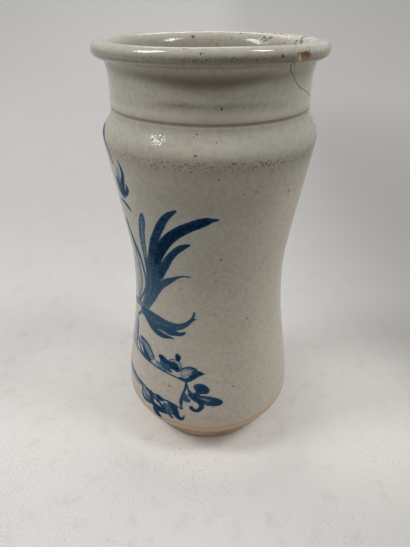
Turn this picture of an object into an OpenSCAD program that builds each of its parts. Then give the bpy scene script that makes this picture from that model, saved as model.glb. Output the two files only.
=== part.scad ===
// Waisted storage jar of tin-glazed earthenware with a cobalt ornament and a rim
// sherd that was broken out and set back. Millimetres, +Z up, origin at the foot.

/* [Thrown body] */
// Height of the whole jar, from the foot to the crest of the lip
height = 280; // [200:1:330]
// Radius of the foot that the jar stands on
foot_radius = 50; // [42:0.5:58]
// Height of the bevelled heel, up to the widest place of the lower wall
heel_height = 31.5; // [20:0.5:44]
// Largest radius of the lower wall
belly_radius = 66; // [58:0.5:80]
// Place of the waist, as a share of the plain wall from the heel to the shoulder
waist_share = 0.58; // [0.4:0.005:0.7]
// Radius of the waist that a hand goes round
waist_radius = 53; // [44:0.5:62]
// Radius of the shoulder where the wall turns in
shoulder_radius = 63; // [58:0.5:76]
// Height of the sloping shoulder, up to the root of the neck
shoulder_slope = 18; // [10:0.5:30]
// Height of the neck, up to the underside of the lip
neck_height = 26; // [16:0.2:40]
// Radius of the neck that a cover is tied round
neck_radius = 56.8; // [46:0.2:60]
// How much the neck widens at its root
neck_flare = 0.5; // [0:0.1:3]
// Thickness of the wall, glaze included
wall = 6.2; // [4:0.1:9]
// Thickness of the floor inside, glaze included
floor_thickness = 9; // [5:0.5:14]
// Radius of the round between floor and wall inside
floor_round = 9; // [3:0.5:16]
// Depth of the turned hollow under the foot
foot_hollow = 1.6; // [0.4:0.2:4]
// Width of the flat ring that carries the jar
foot_ring = 9; // [4:0.5:20]

/* [Lip and groove] */
// How far the lip stands out from the neck
lip_overhang = 7.4; // [4:0.2:14]
// Height of the rolled lip
lip_height = 8; // [6:0.2:14]
// Height of the hollow sweep from the neck out to the underside of the lip
lip_sweep = 10; // [3:0.5:12]
// Depth of the rounded run from the crest down into the mouth
mouth_round = 12; // [5:0.5:18]
// Depth of the groove cut round the root of the neck
groove_depth = 0.5; // [0.2:0.1:1.2]
// Half width of that groove
groove_half = 1.2; // [0.6:0.1:2.4]

/* [Glaze] */
// Thickness of the tin glaze
glaze = 0.6; // [0.3:0.1:1]
// Height where the glaze stops above the foot
glaze_edge = 26; // [6:0.5:48]

/* [Mended sherd] */
// Direction of the sherd round the jar, in degrees from +X
sherd_turn = 75; // [0:1:180]
// Half of the sherd's width at the crest
sherd_half = 35; // [20:0.5:44]
// Depth of the sherd below the crest
sherd_depth = 28; // [14:0.5:34]
// Width of the mend between sherd and body
mend_gap = 0.4; // [0.2:0.1:0.8]
// Radius of the round chip knocked out of the lip
chip_radius = 6.5; // [4:0.5:10]
// Depth of that chip
chip_depth = 2.2; // [1:0.1:3.5]
// Direction of the chip round the jar, in degrees from +X
chip_turn = 43; // [0:1:180]

/* [Cobalt ornament] */
// Thickness of the painted film on the glaze
paint = 0.15; // [0.05:0.05:0.4]
// Breadth of the brush strokes, as a factor
brush = 1; // [0.6:0.05:1.4]
// Direction of the middle of the ornament, in degrees from +X
ornament_turn = -90; // [-180:1:180]

/* [Hidden] */
$fn = 180;

// Rises of the plain wall, which takes what heel, shoulder, neck and lip leave of the height
plain_wall = height - heel_height - shoulder_slope - neck_height - lip_height;
waist_rise = plain_wall * waist_share;
shoulder_rise = plain_wall - waist_rise;

// Heights of the stations of the wall, each on the one below
z_waist = heel_height + waist_rise;
z_shoulder = z_waist + shoulder_rise;
z_neck = z_shoulder + shoulder_slope;
z_lip = z_neck + neck_height;
z_sweep = z_lip - lip_sweep;
z_groove = z_neck + groove_half + glaze;

// Bends of the wall curves: how early the belly draws in, the wall swells above the waist,
// the shoulder turns over and the heel turns under
belly_bend = 0.78;
swell_bend = 0.15;
turn_bend = 1.5;
heel_bend = 1.1;

// Counts of straight steps along each stretch of the wall curve
heel_steps = 6;
wall_steps = 22;
shoulder_steps = 12;
neck_steps = 8;
groove_steps = 6;
arc_steps = 12;

root_radius = neck_radius + neck_flare;
swell_end = sqrt(1 + swell_bend * swell_bend);
swell_slope = (shoulder_radius - waist_radius) / shoulder_rise / swell_end / (swell_end - swell_bend);
roll = lip_height / 2;
lip_centre = neck_radius + lip_overhang - roll;
z_mouth = height - mouth_round;

// Outer radius of the bare heel, the lower wall, the upper wall, the shoulder and the neck
function heel_r(z) =
    foot_radius + (belly_radius - foot_radius) * (1 - pow(1 - z / heel_height, heel_bend));
function lower_r(z) =
    let (t = (z - heel_height) / waist_rise)
    waist_radius + (belly_radius - waist_radius) * (1 + cos(180 * pow(t, belly_bend))) / 2;
function upper_r(z) =
    let (t = (z - z_waist) / shoulder_rise)
    let (swell = (sqrt(t * t + swell_bend * swell_bend) - swell_bend) / (swell_end - swell_bend))
    waist_radius + (shoulder_radius - waist_radius) * swell;
function slope_r(z) =
    let (h = z - z_shoulder)
    let (drop = shoulder_radius + swell_slope * shoulder_slope - root_radius)
    shoulder_radius + swell_slope * h - drop * pow(sin(90 * pow(h / shoulder_slope, turn_bend)), 2);
function neck_r(z) =
    let (t = (z - z_neck) / (z_sweep - z_neck))
    neck_radius + neck_flare * pow(1 - t, 2);

// Outer radius of the plain wall at any height, the neck carried on through the lip
function wall_r(z) =
    z < heel_height ? heel_r(z)
    : z < z_waist ? lower_r(z)
    : z < z_shoulder ? upper_r(z)
    : z < z_neck ? slope_r(z)
    : neck_r(min(z, z_sweep));

// How deep the groove is at a height
function groove_at(z) =
    let (u = abs(z - z_groove) / groove_half)
    u < 1 ? groove_depth * cos(90 * u) : 0;

// Evenly spaced values from a to b, the first one left out
function steps(a, b, n) = [for (i = [1 : n]) a + (b - a) * i / n];
// Points of an arc with its two half axes, the first one left out
function arc(centre, rx, rz, from, to) =
    [for (a = steps(from, to, arc_steps)) centre + [rx * cos(a), rz * sin(a)]];

// Heights of the outer wall below and above the edge of the glaze
low_top = max(glaze_edge, heel_height);
heel_z = concat([0], steps(0, min(glaze_edge, heel_height), heel_steps));
turn_z = glaze_edge > heel_height ? [glaze_edge] : [];
wall_z = concat(
    low_top > glaze_edge ? steps(glaze_edge, low_top, heel_steps) : [],
    steps(low_top, z_waist, wall_steps),
    steps(z_waist, z_shoulder, wall_steps),
    steps(z_shoulder, z_neck, shoulder_steps),
    steps(z_neck, z_groove - groove_half, 1),
    steps(z_groove - groove_half, z_groove + groove_half, groove_steps),
    steps(z_groove + groove_half, z_sweep, neck_steps)
);

bare_curve = [for (z = concat(heel_z, turn_z)) [wall_r(z), z]];
outside_curve = [for (z = wall_z) [wall_r(z) - groove_at(z), z]];
lip_curve = concat(
    arc([lip_centre, z_sweep], lip_centre - neck_radius, lip_sweep, 180, 90),
    arc([lip_centre, z_lip + roll], roll, roll, -90, 90)
);

// The inside, from the crest through the mouth down to the middle of the floor
inside_z = concat(
    steps(z_mouth, z_neck, neck_steps),
    steps(z_neck, z_shoulder, shoulder_steps),
    steps(z_shoulder, z_waist, wall_steps),
    steps(z_waist, floor_thickness + floor_round, wall_steps)
);
floor_corner = wall_r(floor_thickness + floor_round) - wall - floor_round;
inside_curve = concat(
    arc([lip_centre, z_mouth], lip_centre - wall_r(z_mouth) + wall, mouth_round, 90, 180),
    [for (z = inside_z) [wall_r(z) - wall, z]],
    arc([floor_corner, floor_thickness + floor_round], floor_round, floor_round, 0, -90),
    [[0, floor_thickness]]
);

// The whole surface as one line, and where the glaze starts and crosses the crest on it
surface = concat(bare_curve, outside_curve, lip_curve, inside_curve);
edge_at = len(bare_curve) - 1;
crest_at = len(bare_curve) + len(outside_curve) + len(lip_curve) - 1;
floor_at = len(surface) - 1;

// A line moved sideways to its left by a depth, square to its own run
function unit(v) = v / norm(v);
function left_of(line, i) =
    let (d = unit(line[min(i + 1, len(line) - 1)] - line[max(i - 1, 0)]))
    [-d[1], d[0]];
function moved(line, depth) =
    [for (i = [0 : len(line) - 1]) line[i] + depth * left_of(line, i)];
function span(line, first, last) = [for (i = [first : last]) line[i]];
function reversed(line) = [for (i = [len(line) - 1 : -1 : 0]) line[i]];

under_glaze = moved(surface, glaze);
over_glaze = moved(surface, -paint);
foot_edge = under_glaze[0][0] - glaze;

// Turns an outline of radius and height round the axis
module turned(outline) {
    rotate_extrude() polygon(outline);
}

// Layer between two depths of the surface, from one place on its line to another
module layer(top, bottom, first, last) {
    turned(concat(span(top, first, last), reversed(span(bottom, first, last))));
}

module whole_clay() {
    underside = [
        [0, foot_hollow],
        [foot_edge - 2 * foot_ring, foot_hollow],
        [foot_edge - foot_ring, 0],
        [foot_edge, 0]
    ];
    turned(concat(underside, under_glaze));
}

module whole_glaze() {
    layer(surface, under_glaze, edge_at, floor_at);
}

// Break line across the sherd, as shares of its half width and depth
break_line = [
    [-1.07, 0.2], [-1.07, 0], [-1.18, -0.11], [-1.19, -0.22], [-1, -0.3], [-0.95, -0.37],
    [-0.83, -0.5], [-0.74, -0.62], [-0.67, -0.68], [-0.53, -0.74], [-0.28, -0.87],
    [0.08, -0.99], [0.3, -1], [0.52, -0.88], [0.66, -0.62], [0.7, -0.35], [0.75, -0.13],
    [0.84, -0.08], [0.98, 0], [0.98, 0.2]
];
break_points = [for (p = break_line) [p[0] * sherd_half, height + p[1] * sherd_depth]];

// Block that holds all inside the break line, grown by a margin
module sherd_block(margin) {
    rotate([0, 0, sherd_turn - 90])
        rotate([90, 0, 180])
            linear_extrude(height = neck_radius + 2 * lip_overhang)
                mirror([1, 0])
                    polygon(moved(break_points, -margin));
}

// Round knock in the lip beside the break
module chip_cut() {
    out = neck_radius + lip_overhang - chip_depth + chip_radius;
    rotate([0, 0, chip_turn])
        translate([out, 0, z_lip + roll])
            sphere(r = chip_radius);
}

// Heel and plain wall of the jar that the brush strokes below were drawn on
drawn_heel = 19.5;
drawn_wall = 196.5;

// Brush strokes of one half of the ornament, from root or tip along each stroke:
// degrees from the middle of the ornament, drawn height, half breadth
plume = [
    [[51.5, 183.5, 1], [49, 179.5, 2.4], [45.5, 168, 2.8], [43, 154, 3], [42, 138, 3.4], [40, 122, 3.6],
        [34, 108, 3]],
    [[73, 192.5, 0.8], [69, 189.5, 1.8], [63, 184, 3], [58.5, 175, 3.6], [54, 163, 4], [49, 146, 4],
        [44, 126, 4], [38, 110, 3]],
    [[94.5, 188.5, 0.9], [89, 188.3, 2.2], [80.5, 184.5, 3.4], [72, 177.5, 3.6], [64, 169, 4],
        [57, 157, 4.2], [51, 142, 4], [44, 122, 4]],
    [[79, 171.5, 1], [75, 170, 2], [69.5, 165.5, 2.8], [64.5, 159, 3], [60, 151, 3], [55, 142, 3.2],
        [48, 126, 3.4]],
    [[78, 147.7, 0.8], [73, 146.8, 1.1], [67.5, 144, 2.1], [61, 139, 2.6], [55, 132, 2.8],
        [48.5, 122, 3], [42, 112, 2.6]]
];
tail = [
    [[30, 104, 3.5], [42, 105, 4.6], [55, 105.5, 3.6], [66, 106.8, 2.6], [74, 110.5, 2], [79, 115, 1.4],
        [80.5, 120.5, 0.7]],
    [[40, 102, 3], [52, 101.5, 2.8], [63, 101.2, 2], [73, 104, 0.8]],
    [[40, 99.5, 2.2], [47, 96.8, 2.2], [55, 95.3, 1.6], [65, 97.5, 0.6]],
    [[41, 112, 2.6], [32, 105, 2.8], [22, 102, 2.6], [12, 99.5, 2.2], [-1, 98, 2]]
];
middle = [
    [[-1, 109, 0.9], [8, 113, 1.1], [14, 125, 1.2], [16.5, 142, 1.2], [13, 160, 1.1], [6, 170, 1],
        [-1, 173, 0.9]],
    [[4.5, 132, 0.6], [7.5, 140, 1.6], [6.5, 150, 0.6]]
];
body_lines = [
    [[37, 152, 0.8], [33, 158, 1.2], [29, 165, 1.2], [26, 173, 0.8]],
    [[36, 139, 0.8], [32, 129, 1], [27, 117, 1], [20, 108, 0.8]]
];
top_leaves = [
    [[37.5, 212.5, 0.8], [39.5, 208, 1.4], [39, 203, 1.4], [34, 199.5, 1]],
    [[42, 199.5, 0.6], [38.5, 196.5, 2.4], [31, 195.5, 3], [22, 191.5, 2], [14, 188, 0.8]],
    [[38.5, 183, 0.9], [33, 185.5, 1.3], [26, 186.5, 0.7]],
    [[27, 209.5, 1.2], [20, 212.5, 2], [14, 216, 1.2]]
];
banner = [
    [[-1, 65.5, 0.8], [20, 65.5, 0.8], [35, 65.5, 0.8], [55, 65.8, 0.8], [72.5, 64.3, 0.9]],
    [[-1, 42.3, 0.8], [20, 42.3, 0.8], [35, 42.4, 0.8], [50, 42.6, 0.8], [70, 42.3, 0.8]]
];
bud = [
    [[25, 71, 0.9], [26.5, 76.5, 1.2], [32, 80.6, 1.1], [39, 79.8, 0.9], [45, 75.5, 0.9], [48, 70, 0.7]],
    [[32, 76.5, 0.8], [36, 72.5, 2.6], [41.5, 69.3, 2.2], [49, 67.8, 0.8]],
    [[26.5, 93, 0.7], [25.5, 85, 1.7], [25, 76, 1.6], [24.5, 68, 0.9]],
    [[53.5, 77, 1], [56.5, 76.2, 2.4], [61, 74, 1.6], [64.5, 72.8, 2.6], [69, 72.8, 1.8]],
    [[68.2, 83.4, 1], [68.2, 80.5, 2.4], [68.8, 77, 1.2], [67.8, 74, 1.8]],
    [[52.5, 71.5, 1.4], [58, 70, 2.2], [64, 70.3, 1.4]]
];
finial = [
    [[75.2, 62.5, 1], [74.8, 57, 1], [73.3, 51, 1.2], [72.2, 45, 1.3], [72.5, 38.3, 0.9]],
    [[70, 67.5, 0.8], [75, 69.8, 3.4], [80.5, 71, 4], [84.5, 71, 2.4], [87.5, 71, 0.6]],
    [[81, 59.5, 0.8], [83, 59.5, 3.4], [85, 59.4, 4.1], [87, 59.4, 3.4], [89.2, 59.4, 0.8]],
    [[76, 53.5, 1], [81, 52, 3.2], [88, 50.3, 4.2], [94, 48.2, 3.6], [99, 46.2, 0.8]],
    [[80.5, 50, 1.2], [85.5, 46.5, 1.8], [87, 42.5, 1.7], [84.5, 39.3, 1.7], [81, 38.7, 1.6],
        [79.2, 41, 1.4]],
    [[76.5, 55, 1], [75.2, 50, 2.2], [73.2, 44, 1.4]]
];
pendants = [
    [[44, 40.2, 0.9], [39.5, 38.8, 0.9], [38.3, 35, 0.9], [39.5, 30.5, 1], [43, 28.6, 1], [47, 30.5, 0.9]],
    [[47, 40.8, 1.6], [47.5, 37, 3], [47, 32, 2.4], [44, 29, 0.8]],
    [[55, 41, 2.6], [55.2, 39, 1.8], [55.4, 36, 0.5]],
    [[50.5, 36.5, 0.8], [53, 32, 2.4], [54.8, 27.5, 2.2], [55, 23, 1.9], [54.5, 20.5, 0.7]],
    [[61, 35.5, 0.7], [59, 31.5, 1.8], [56, 28, 1.2]],
    [[63.5, 40.8, 0.8], [65.8, 37.5, 3.4], [67.3, 32.5, 3.4], [70.5, 28.7, 2], [73.5, 29.5, 1.2],
        [74.8, 33, 0.5]],
    [[61.2, 40, 0.7], [60.9, 34, 0.9], [63.5, 28.5, 1], [68, 26.5, 0.8]]
];
ornament = [concat(plume, tail), middle, body_lines, top_leaves, banner, bud, finial, pendants];

// Direction from the middle of the ornament in which one half is laid on the wall
lay_turn = 52;
stroke_steps = 3;

// A smooth line through the points of a stroke
function between(a, b, c, d, t) =
    b + t * (c - a) / 2 + t * t * (a - 2.5 * b + 2 * c - d / 2)
    + t * t * t * (1.5 * (b - c) + (d - a) / 2);
function smooth(line) =
    let (last = len(line) - 1)
    concat(
        [for (i = [0 : last - 1], k = [0 : stroke_steps - 1])
            between(line[max(i - 1, 0)], line[i], line[i + 1], line[min(i + 2, last)], k / stroke_steps)],
        [line[last]]
    );

// Height on this jar of a drawn height
function laid_z(z) = heel_height + (z - drawn_heel) * plain_wall / drawn_wall;

// One edge of a stroke, and the place of a point of it on a flat sheet in front of the wall
function flat(p) = [p[0], p[1]];
function stroke_edge(run, side) =
    let (middle = [for (p = run) flat(p)])
    [for (i = [0 : len(run) - 1]) middle[i] + side * brush * run[i][2] * left_of(middle, i)];
function on_sheet(p) = let (z = laid_z(p[1])) [wall_r(z) * sin(p[0] - lay_turn), z];

module stroke(line) {
    run = smooth(line);
    edge = concat(stroke_edge(run, 1), reversed(stroke_edge(run, -1)));
    linear_extrude(height = belly_radius + shoulder_radius)
        polygon([for (p = edge) on_sheet(p)]);
}

// One half of a motif as blocks that reach out from the axis through the wall
module half_motif(motif) {
    rotate([0, 0, lay_turn])
        rotate([90, 0, 0])
            for (line = motif)
                stroke(line);
}

module clay_body() {
    color([0.78, 0.66, 0.53])
        difference() {
            whole_clay();
            sherd_block(mend_gap / 2);
            chip_cut();
        }
}

module rim_sherd() {
    color([0.72, 0.52, 0.38])
        difference() {
            intersection() {
                whole_clay();
                sherd_block(-mend_gap / 2);
            }
            chip_cut();
        }
}

module mend_seam() {
    color([0.35, 0.28, 0.22])
        difference() {
            intersection() {
                whole_clay();
                sherd_block(mend_gap / 2);
            }
            sherd_block(-mend_gap / 2);
            chip_cut();
        }
}

module outer_glaze() {
    color([0.86, 0.86, 0.83])
        difference() {
            layer(surface, under_glaze, edge_at, crest_at);
            sherd_block(mend_gap / 2);
            chip_cut();
        }
}

module inner_glaze() {
    color([0.8, 0.8, 0.76])
        difference() {
            layer(surface, under_glaze, crest_at, floor_at);
            sherd_block(mend_gap / 2);
        }
}

module sherd_glaze() {
    color([0.9, 0.88, 0.84])
        difference() {
            intersection() {
                whole_glaze();
                sherd_block(-mend_gap / 2);
            }
            chip_cut();
        }
}

module cobalt_painting() {
    color([0.13, 0.2, 0.36])
        rotate([0, 0, ornament_turn + 90])
            for (motif = ornament)
                intersection() {
                    layer(over_glaze, surface, edge_at, edge_at + len(outside_curve) - neck_steps);
                    union() {
                        half_motif(motif);
                        mirror([1, 0, 0]) half_motif(motif);
                    }
                }
}

clay_body();
outer_glaze();
inner_glaze();
cobalt_painting();
rim_sherd();
sherd_glaze();
mend_seam();
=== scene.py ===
"""Looks of a tin-glazed waisted storage jar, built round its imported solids.

The jar stands on its foot with +Z up. The middle of the cobalt ornament faces -Y, and the camera
stands on the +X side. Angles of the jar are degrees from +X towards +Y, and lengths inside the
classes are millimetres until a mesh is made.
"""

import logging
import math
from dataclasses import dataclass, field
from enum import Enum
from typing import Any

import bmesh
import bpy
import numpy as np
from mathutils import Matrix

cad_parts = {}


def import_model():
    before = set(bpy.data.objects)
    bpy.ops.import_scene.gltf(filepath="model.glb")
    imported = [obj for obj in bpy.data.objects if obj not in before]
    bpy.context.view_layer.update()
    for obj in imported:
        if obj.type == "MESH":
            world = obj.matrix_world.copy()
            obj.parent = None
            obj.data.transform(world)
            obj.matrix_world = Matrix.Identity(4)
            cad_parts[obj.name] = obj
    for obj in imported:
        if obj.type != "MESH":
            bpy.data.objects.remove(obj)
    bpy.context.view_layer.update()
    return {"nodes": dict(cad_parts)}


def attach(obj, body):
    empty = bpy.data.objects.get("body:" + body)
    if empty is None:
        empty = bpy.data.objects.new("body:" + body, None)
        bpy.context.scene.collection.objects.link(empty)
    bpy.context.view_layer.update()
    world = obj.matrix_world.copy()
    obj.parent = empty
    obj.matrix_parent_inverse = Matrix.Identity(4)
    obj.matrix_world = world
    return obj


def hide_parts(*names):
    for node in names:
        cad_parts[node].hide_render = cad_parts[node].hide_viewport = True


LOG = logging.getLogger("albarello")
MM = 0.001
IMAGE_WIDTH, IMAGE_HEIGHT = 410, 547

# Red, green and blue; x, y and z; and the middle, half breadth and height of a bell curve
Colour = tuple[float, float, float]
Point = tuple[float, float, float]
Bell = tuple[float, float, float]


class Side(Enum):
    """Which part of the broken rim a coat of glaze belongs to."""

    BODY = "body"
    SHERD = "sherd"


class Place(Enum):
    """Where on the jar a coat of glaze lies, which decides what its finish shows."""

    OUTSIDE = "outside"
    RIM = "rim"
    INSIDE = "inside"


def smoothstep(x: np.ndarray, low: float, high: float) -> np.ndarray:
    """Blends from 0 to 1 with level ends.

    Args:
        x: Values to blend by.
        low: Value at which the blend is 0.
        high: Value at which the blend is 1.

    Returns:
        The cubic 3t^2 - 2t^3 of the share t of the way from low to high.
    """
    t = np.clip((x - low) / (high - low), 0.0, 1.0)
    return t * t * (3.0 - 2.0 * t)


def bell(x: np.ndarray, middle: Any, half: Any) -> np.ndarray:
    """Bell curve, e to the power of minus the square of the way from its middle over its half breadth.

    Args:
        x: Values to read the curve at.
        middle: Value at which the curve is 1.
        half: Way from the middle at which the curve has fallen to 1 / e.

    Returns:
        The height of the curve at each value.
    """
    return np.exp(-(((x - middle) / half) ** 2))


def bells(x: np.ndarray, rows: tuple[Bell, ...]) -> np.ndarray:
    """Sum of bell curves, each row of which gives a middle, a half breadth and a height."""
    return sum(height * bell(x, middle, half) for middle, half, height in rows)


@dataclass(frozen=True)
class JarForm:
    """Profile of the thrown jar in millimetres, as the solids have it but for a slightly lower groove.

    Attributes close_rows, fine_step and inner_step say how far from its ends the rim's line has close
    points, and how close they are outside and inside.
    """

    foot_radius: float = 50.0
    heel_height: float = 31.5
    belly_radius: float = 66.0
    waist_radius: float = 53.0
    shoulder_radius: float = 63.0
    neck_radius: float = 56.8
    neck_flare: float = 0.5
    z_waist: float = 145.47
    z_shoulder: float = 228.0
    z_neck: float = 246.0
    z_lip: float = 272.0
    height: float = 280.0
    wall: float = 6.2
    floor_thickness: float = 9.0
    floor_round: float = 9.0
    lip_overhang: float = 7.4
    lip_sweep: float = 10.0
    mouth_round: float = 12.0
    z_groove: float = 247.1
    groove_half: float = 1.2
    groove_depth: float = 0.5
    glaze: float = 0.6
    glaze_edge: float = 26.0
    heel_bend: float = 1.1
    belly_bend: float = 0.78
    swell_bend: float = 0.15
    turn_bend: float = 1.5
    close_rows: float = 9.0
    fine_step: float = 0.35
    inner_step: float = 0.5

    @property
    def roll(self) -> float:
        """Half the height of the lip, which is the radius of its roll."""
        return (self.height - self.z_lip) / 2.0

    @property
    def lip_centre(self) -> float:
        """Radius at which the roll of the lip has its centre."""
        return self.neck_radius + self.lip_overhang - self.roll

    @property
    def z_sweep(self) -> float:
        """Height at which the neck starts to sweep out to the lip."""
        return self.z_lip - self.lip_sweep

    def wall_radius(self, z: np.ndarray) -> np.ndarray:
        """Outer radius of the plain wall, without the groove, the neck carried on through the lip.

        The heel turns under as 1 less a power of 1 - t, the lower wall draws in as half a cosine of
        a power of t, the upper wall swells as a hyperbola, the shoulder turns over as a squared sine
        of a power of t, and the neck closes as (1 - t)^2.

        Args:
            z: Heights, from the foot to the lip.

        Returns:
            The radius at each height.
        """
        z = np.asarray(z, dtype=float)
        heel_t = np.clip(z / self.heel_height, 0.0, 1.0)
        turned_under = (1.0 - heel_t) ** self.heel_bend
        heel = self.foot_radius + (self.belly_radius - self.foot_radius) * (1.0 - turned_under)
        low_t = np.clip((z - self.heel_height) / (self.z_waist - self.heel_height), 0.0, 1.0)
        drawn = (1.0 + np.cos(math.pi * low_t**self.belly_bend)) / 2.0
        lower = self.waist_radius + (self.belly_radius - self.waist_radius) * drawn
        rise = self.z_shoulder - self.z_waist
        end = math.hypot(1.0, self.swell_bend)
        up_t = np.clip((z - self.z_waist) / rise, 0.0, 1.0)
        swell = (np.hypot(up_t, self.swell_bend) - self.swell_bend) / (end - self.swell_bend)
        grown = self.shoulder_radius - self.waist_radius
        upper = self.waist_radius + grown * swell
        slant = grown / rise / end / (end - self.swell_bend)
        depth = self.z_neck - self.z_shoulder
        h = np.clip(z - self.z_shoulder, 0.0, depth)
        drop = self.shoulder_radius + slant * depth - self.neck_radius - self.neck_flare
        turn = np.sin(math.pi / 2.0 * (h / depth) ** self.turn_bend) ** 2
        slope = self.shoulder_radius + slant * h - drop * turn
        neck_t = np.clip((z - self.z_neck) / (self.z_sweep - self.z_neck), 0.0, 1.0)
        neck = self.neck_radius + self.neck_flare * (1.0 - neck_t) ** 2
        bands = [z < self.heel_height, z < self.z_waist, z < self.z_shoulder, z < self.z_neck]
        return np.select(bands, [heel, lower, upper, slope], neck)

    def outer_radius(self, z: np.ndarray) -> np.ndarray:
        """Outer radius with the groove, which is a cosine dip below the neck.

        Args:
            z: Heights, from the foot to the lip.

        Returns:
            The radius at each height.
        """
        u = np.clip(np.abs(np.asarray(z) - self.z_groove) / self.groove_half, 0.0, 1.0)
        return self.wall_radius(z) - self.groove_depth * np.cos(math.pi / 2.0 * u)

    def rim_line(self, z_out: float, z_in: float) -> np.ndarray:
        """Line over the rim, from a height outside, round the lip, to a height inside.

        The neck runs up to a quarter ellipse that sweeps out under the lip, the lip is a half round,
        and the mouth is a quarter ellipse down to the inner wall.

        Args:
            z_out: Height of the first point, on the outside.
            z_in: Height of the last point, on the inside.

        Returns:
            Rows of radius and height.
        """
        roll, close = self.roll, self.close_rows
        fine = np.arange(z_out, z_out + close, self.fine_step)
        neck_z = np.concatenate([fine, np.linspace(z_out + close, self.z_sweep, 8)])
        under = np.radians(np.linspace(180.0, 90.0, 26)[1:])
        sweep_r = self.lip_centre + (self.lip_centre - self.neck_radius) * np.cos(under)
        sweep_z = self.z_sweep + self.lip_sweep * np.sin(under)
        lip = np.radians(np.linspace(-90.0, 90.0, 40)[1:])
        lip_r = self.lip_centre + roll * np.cos(lip)
        lip_z = self.z_lip + roll + roll * np.sin(lip)
        z_mouth = self.height - self.mouth_round
        inset = self.lip_centre - float(self.wall_radius(z_mouth)) + self.wall
        mouth = np.radians(np.linspace(90.0, 180.0, 30)[1:])
        mouth_r = self.lip_centre + inset * np.cos(mouth)
        mouth_z = z_mouth + self.mouth_round * np.sin(mouth)
        coarse = np.linspace(z_mouth, z_in + close, 10)[1:-1]
        inner_z = np.concatenate([coarse, np.arange(z_in + close, z_in - 0.01, -self.inner_step)])
        inner_r = self.wall_radius(inner_z) - self.wall
        radius = [self.outer_radius(neck_z), sweep_r, lip_r, mouth_r, inner_r]
        rise = [neck_z, sweep_z, lip_z, mouth_z, inner_z]
        return np.column_stack([np.concatenate(radius), np.concatenate(rise)])

    def inside_line(self, z_top: float) -> np.ndarray:
        """Line down the inside, from a height to the middle of the floor.

        The wall keeps its thickness down to a quarter round at the floor, and the floor is level.

        Args:
            z_top: Height of the first point.

        Returns:
            Rows of radius and height, the last one on the axis.
        """
        z_corner = self.floor_thickness + self.floor_round
        wall_z = np.linspace(z_top, z_corner, 130)
        wall_r = self.wall_radius(wall_z) - self.wall
        corner = np.radians(np.linspace(0.0, -90.0, 14)[1:])
        corner_r = wall_r[-1] - self.floor_round + self.floor_round * np.cos(corner)
        corner_z = z_corner + self.floor_round * np.sin(corner)
        floor_r = np.linspace(corner_r[-1], 0.0, 30)[1:]
        floor_z = np.full_like(floor_r, self.floor_thickness)
        return np.column_stack(
            [np.concatenate([wall_r, corner_r, floor_r]), np.concatenate([wall_z, corner_z, floor_z])]
        )


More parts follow.
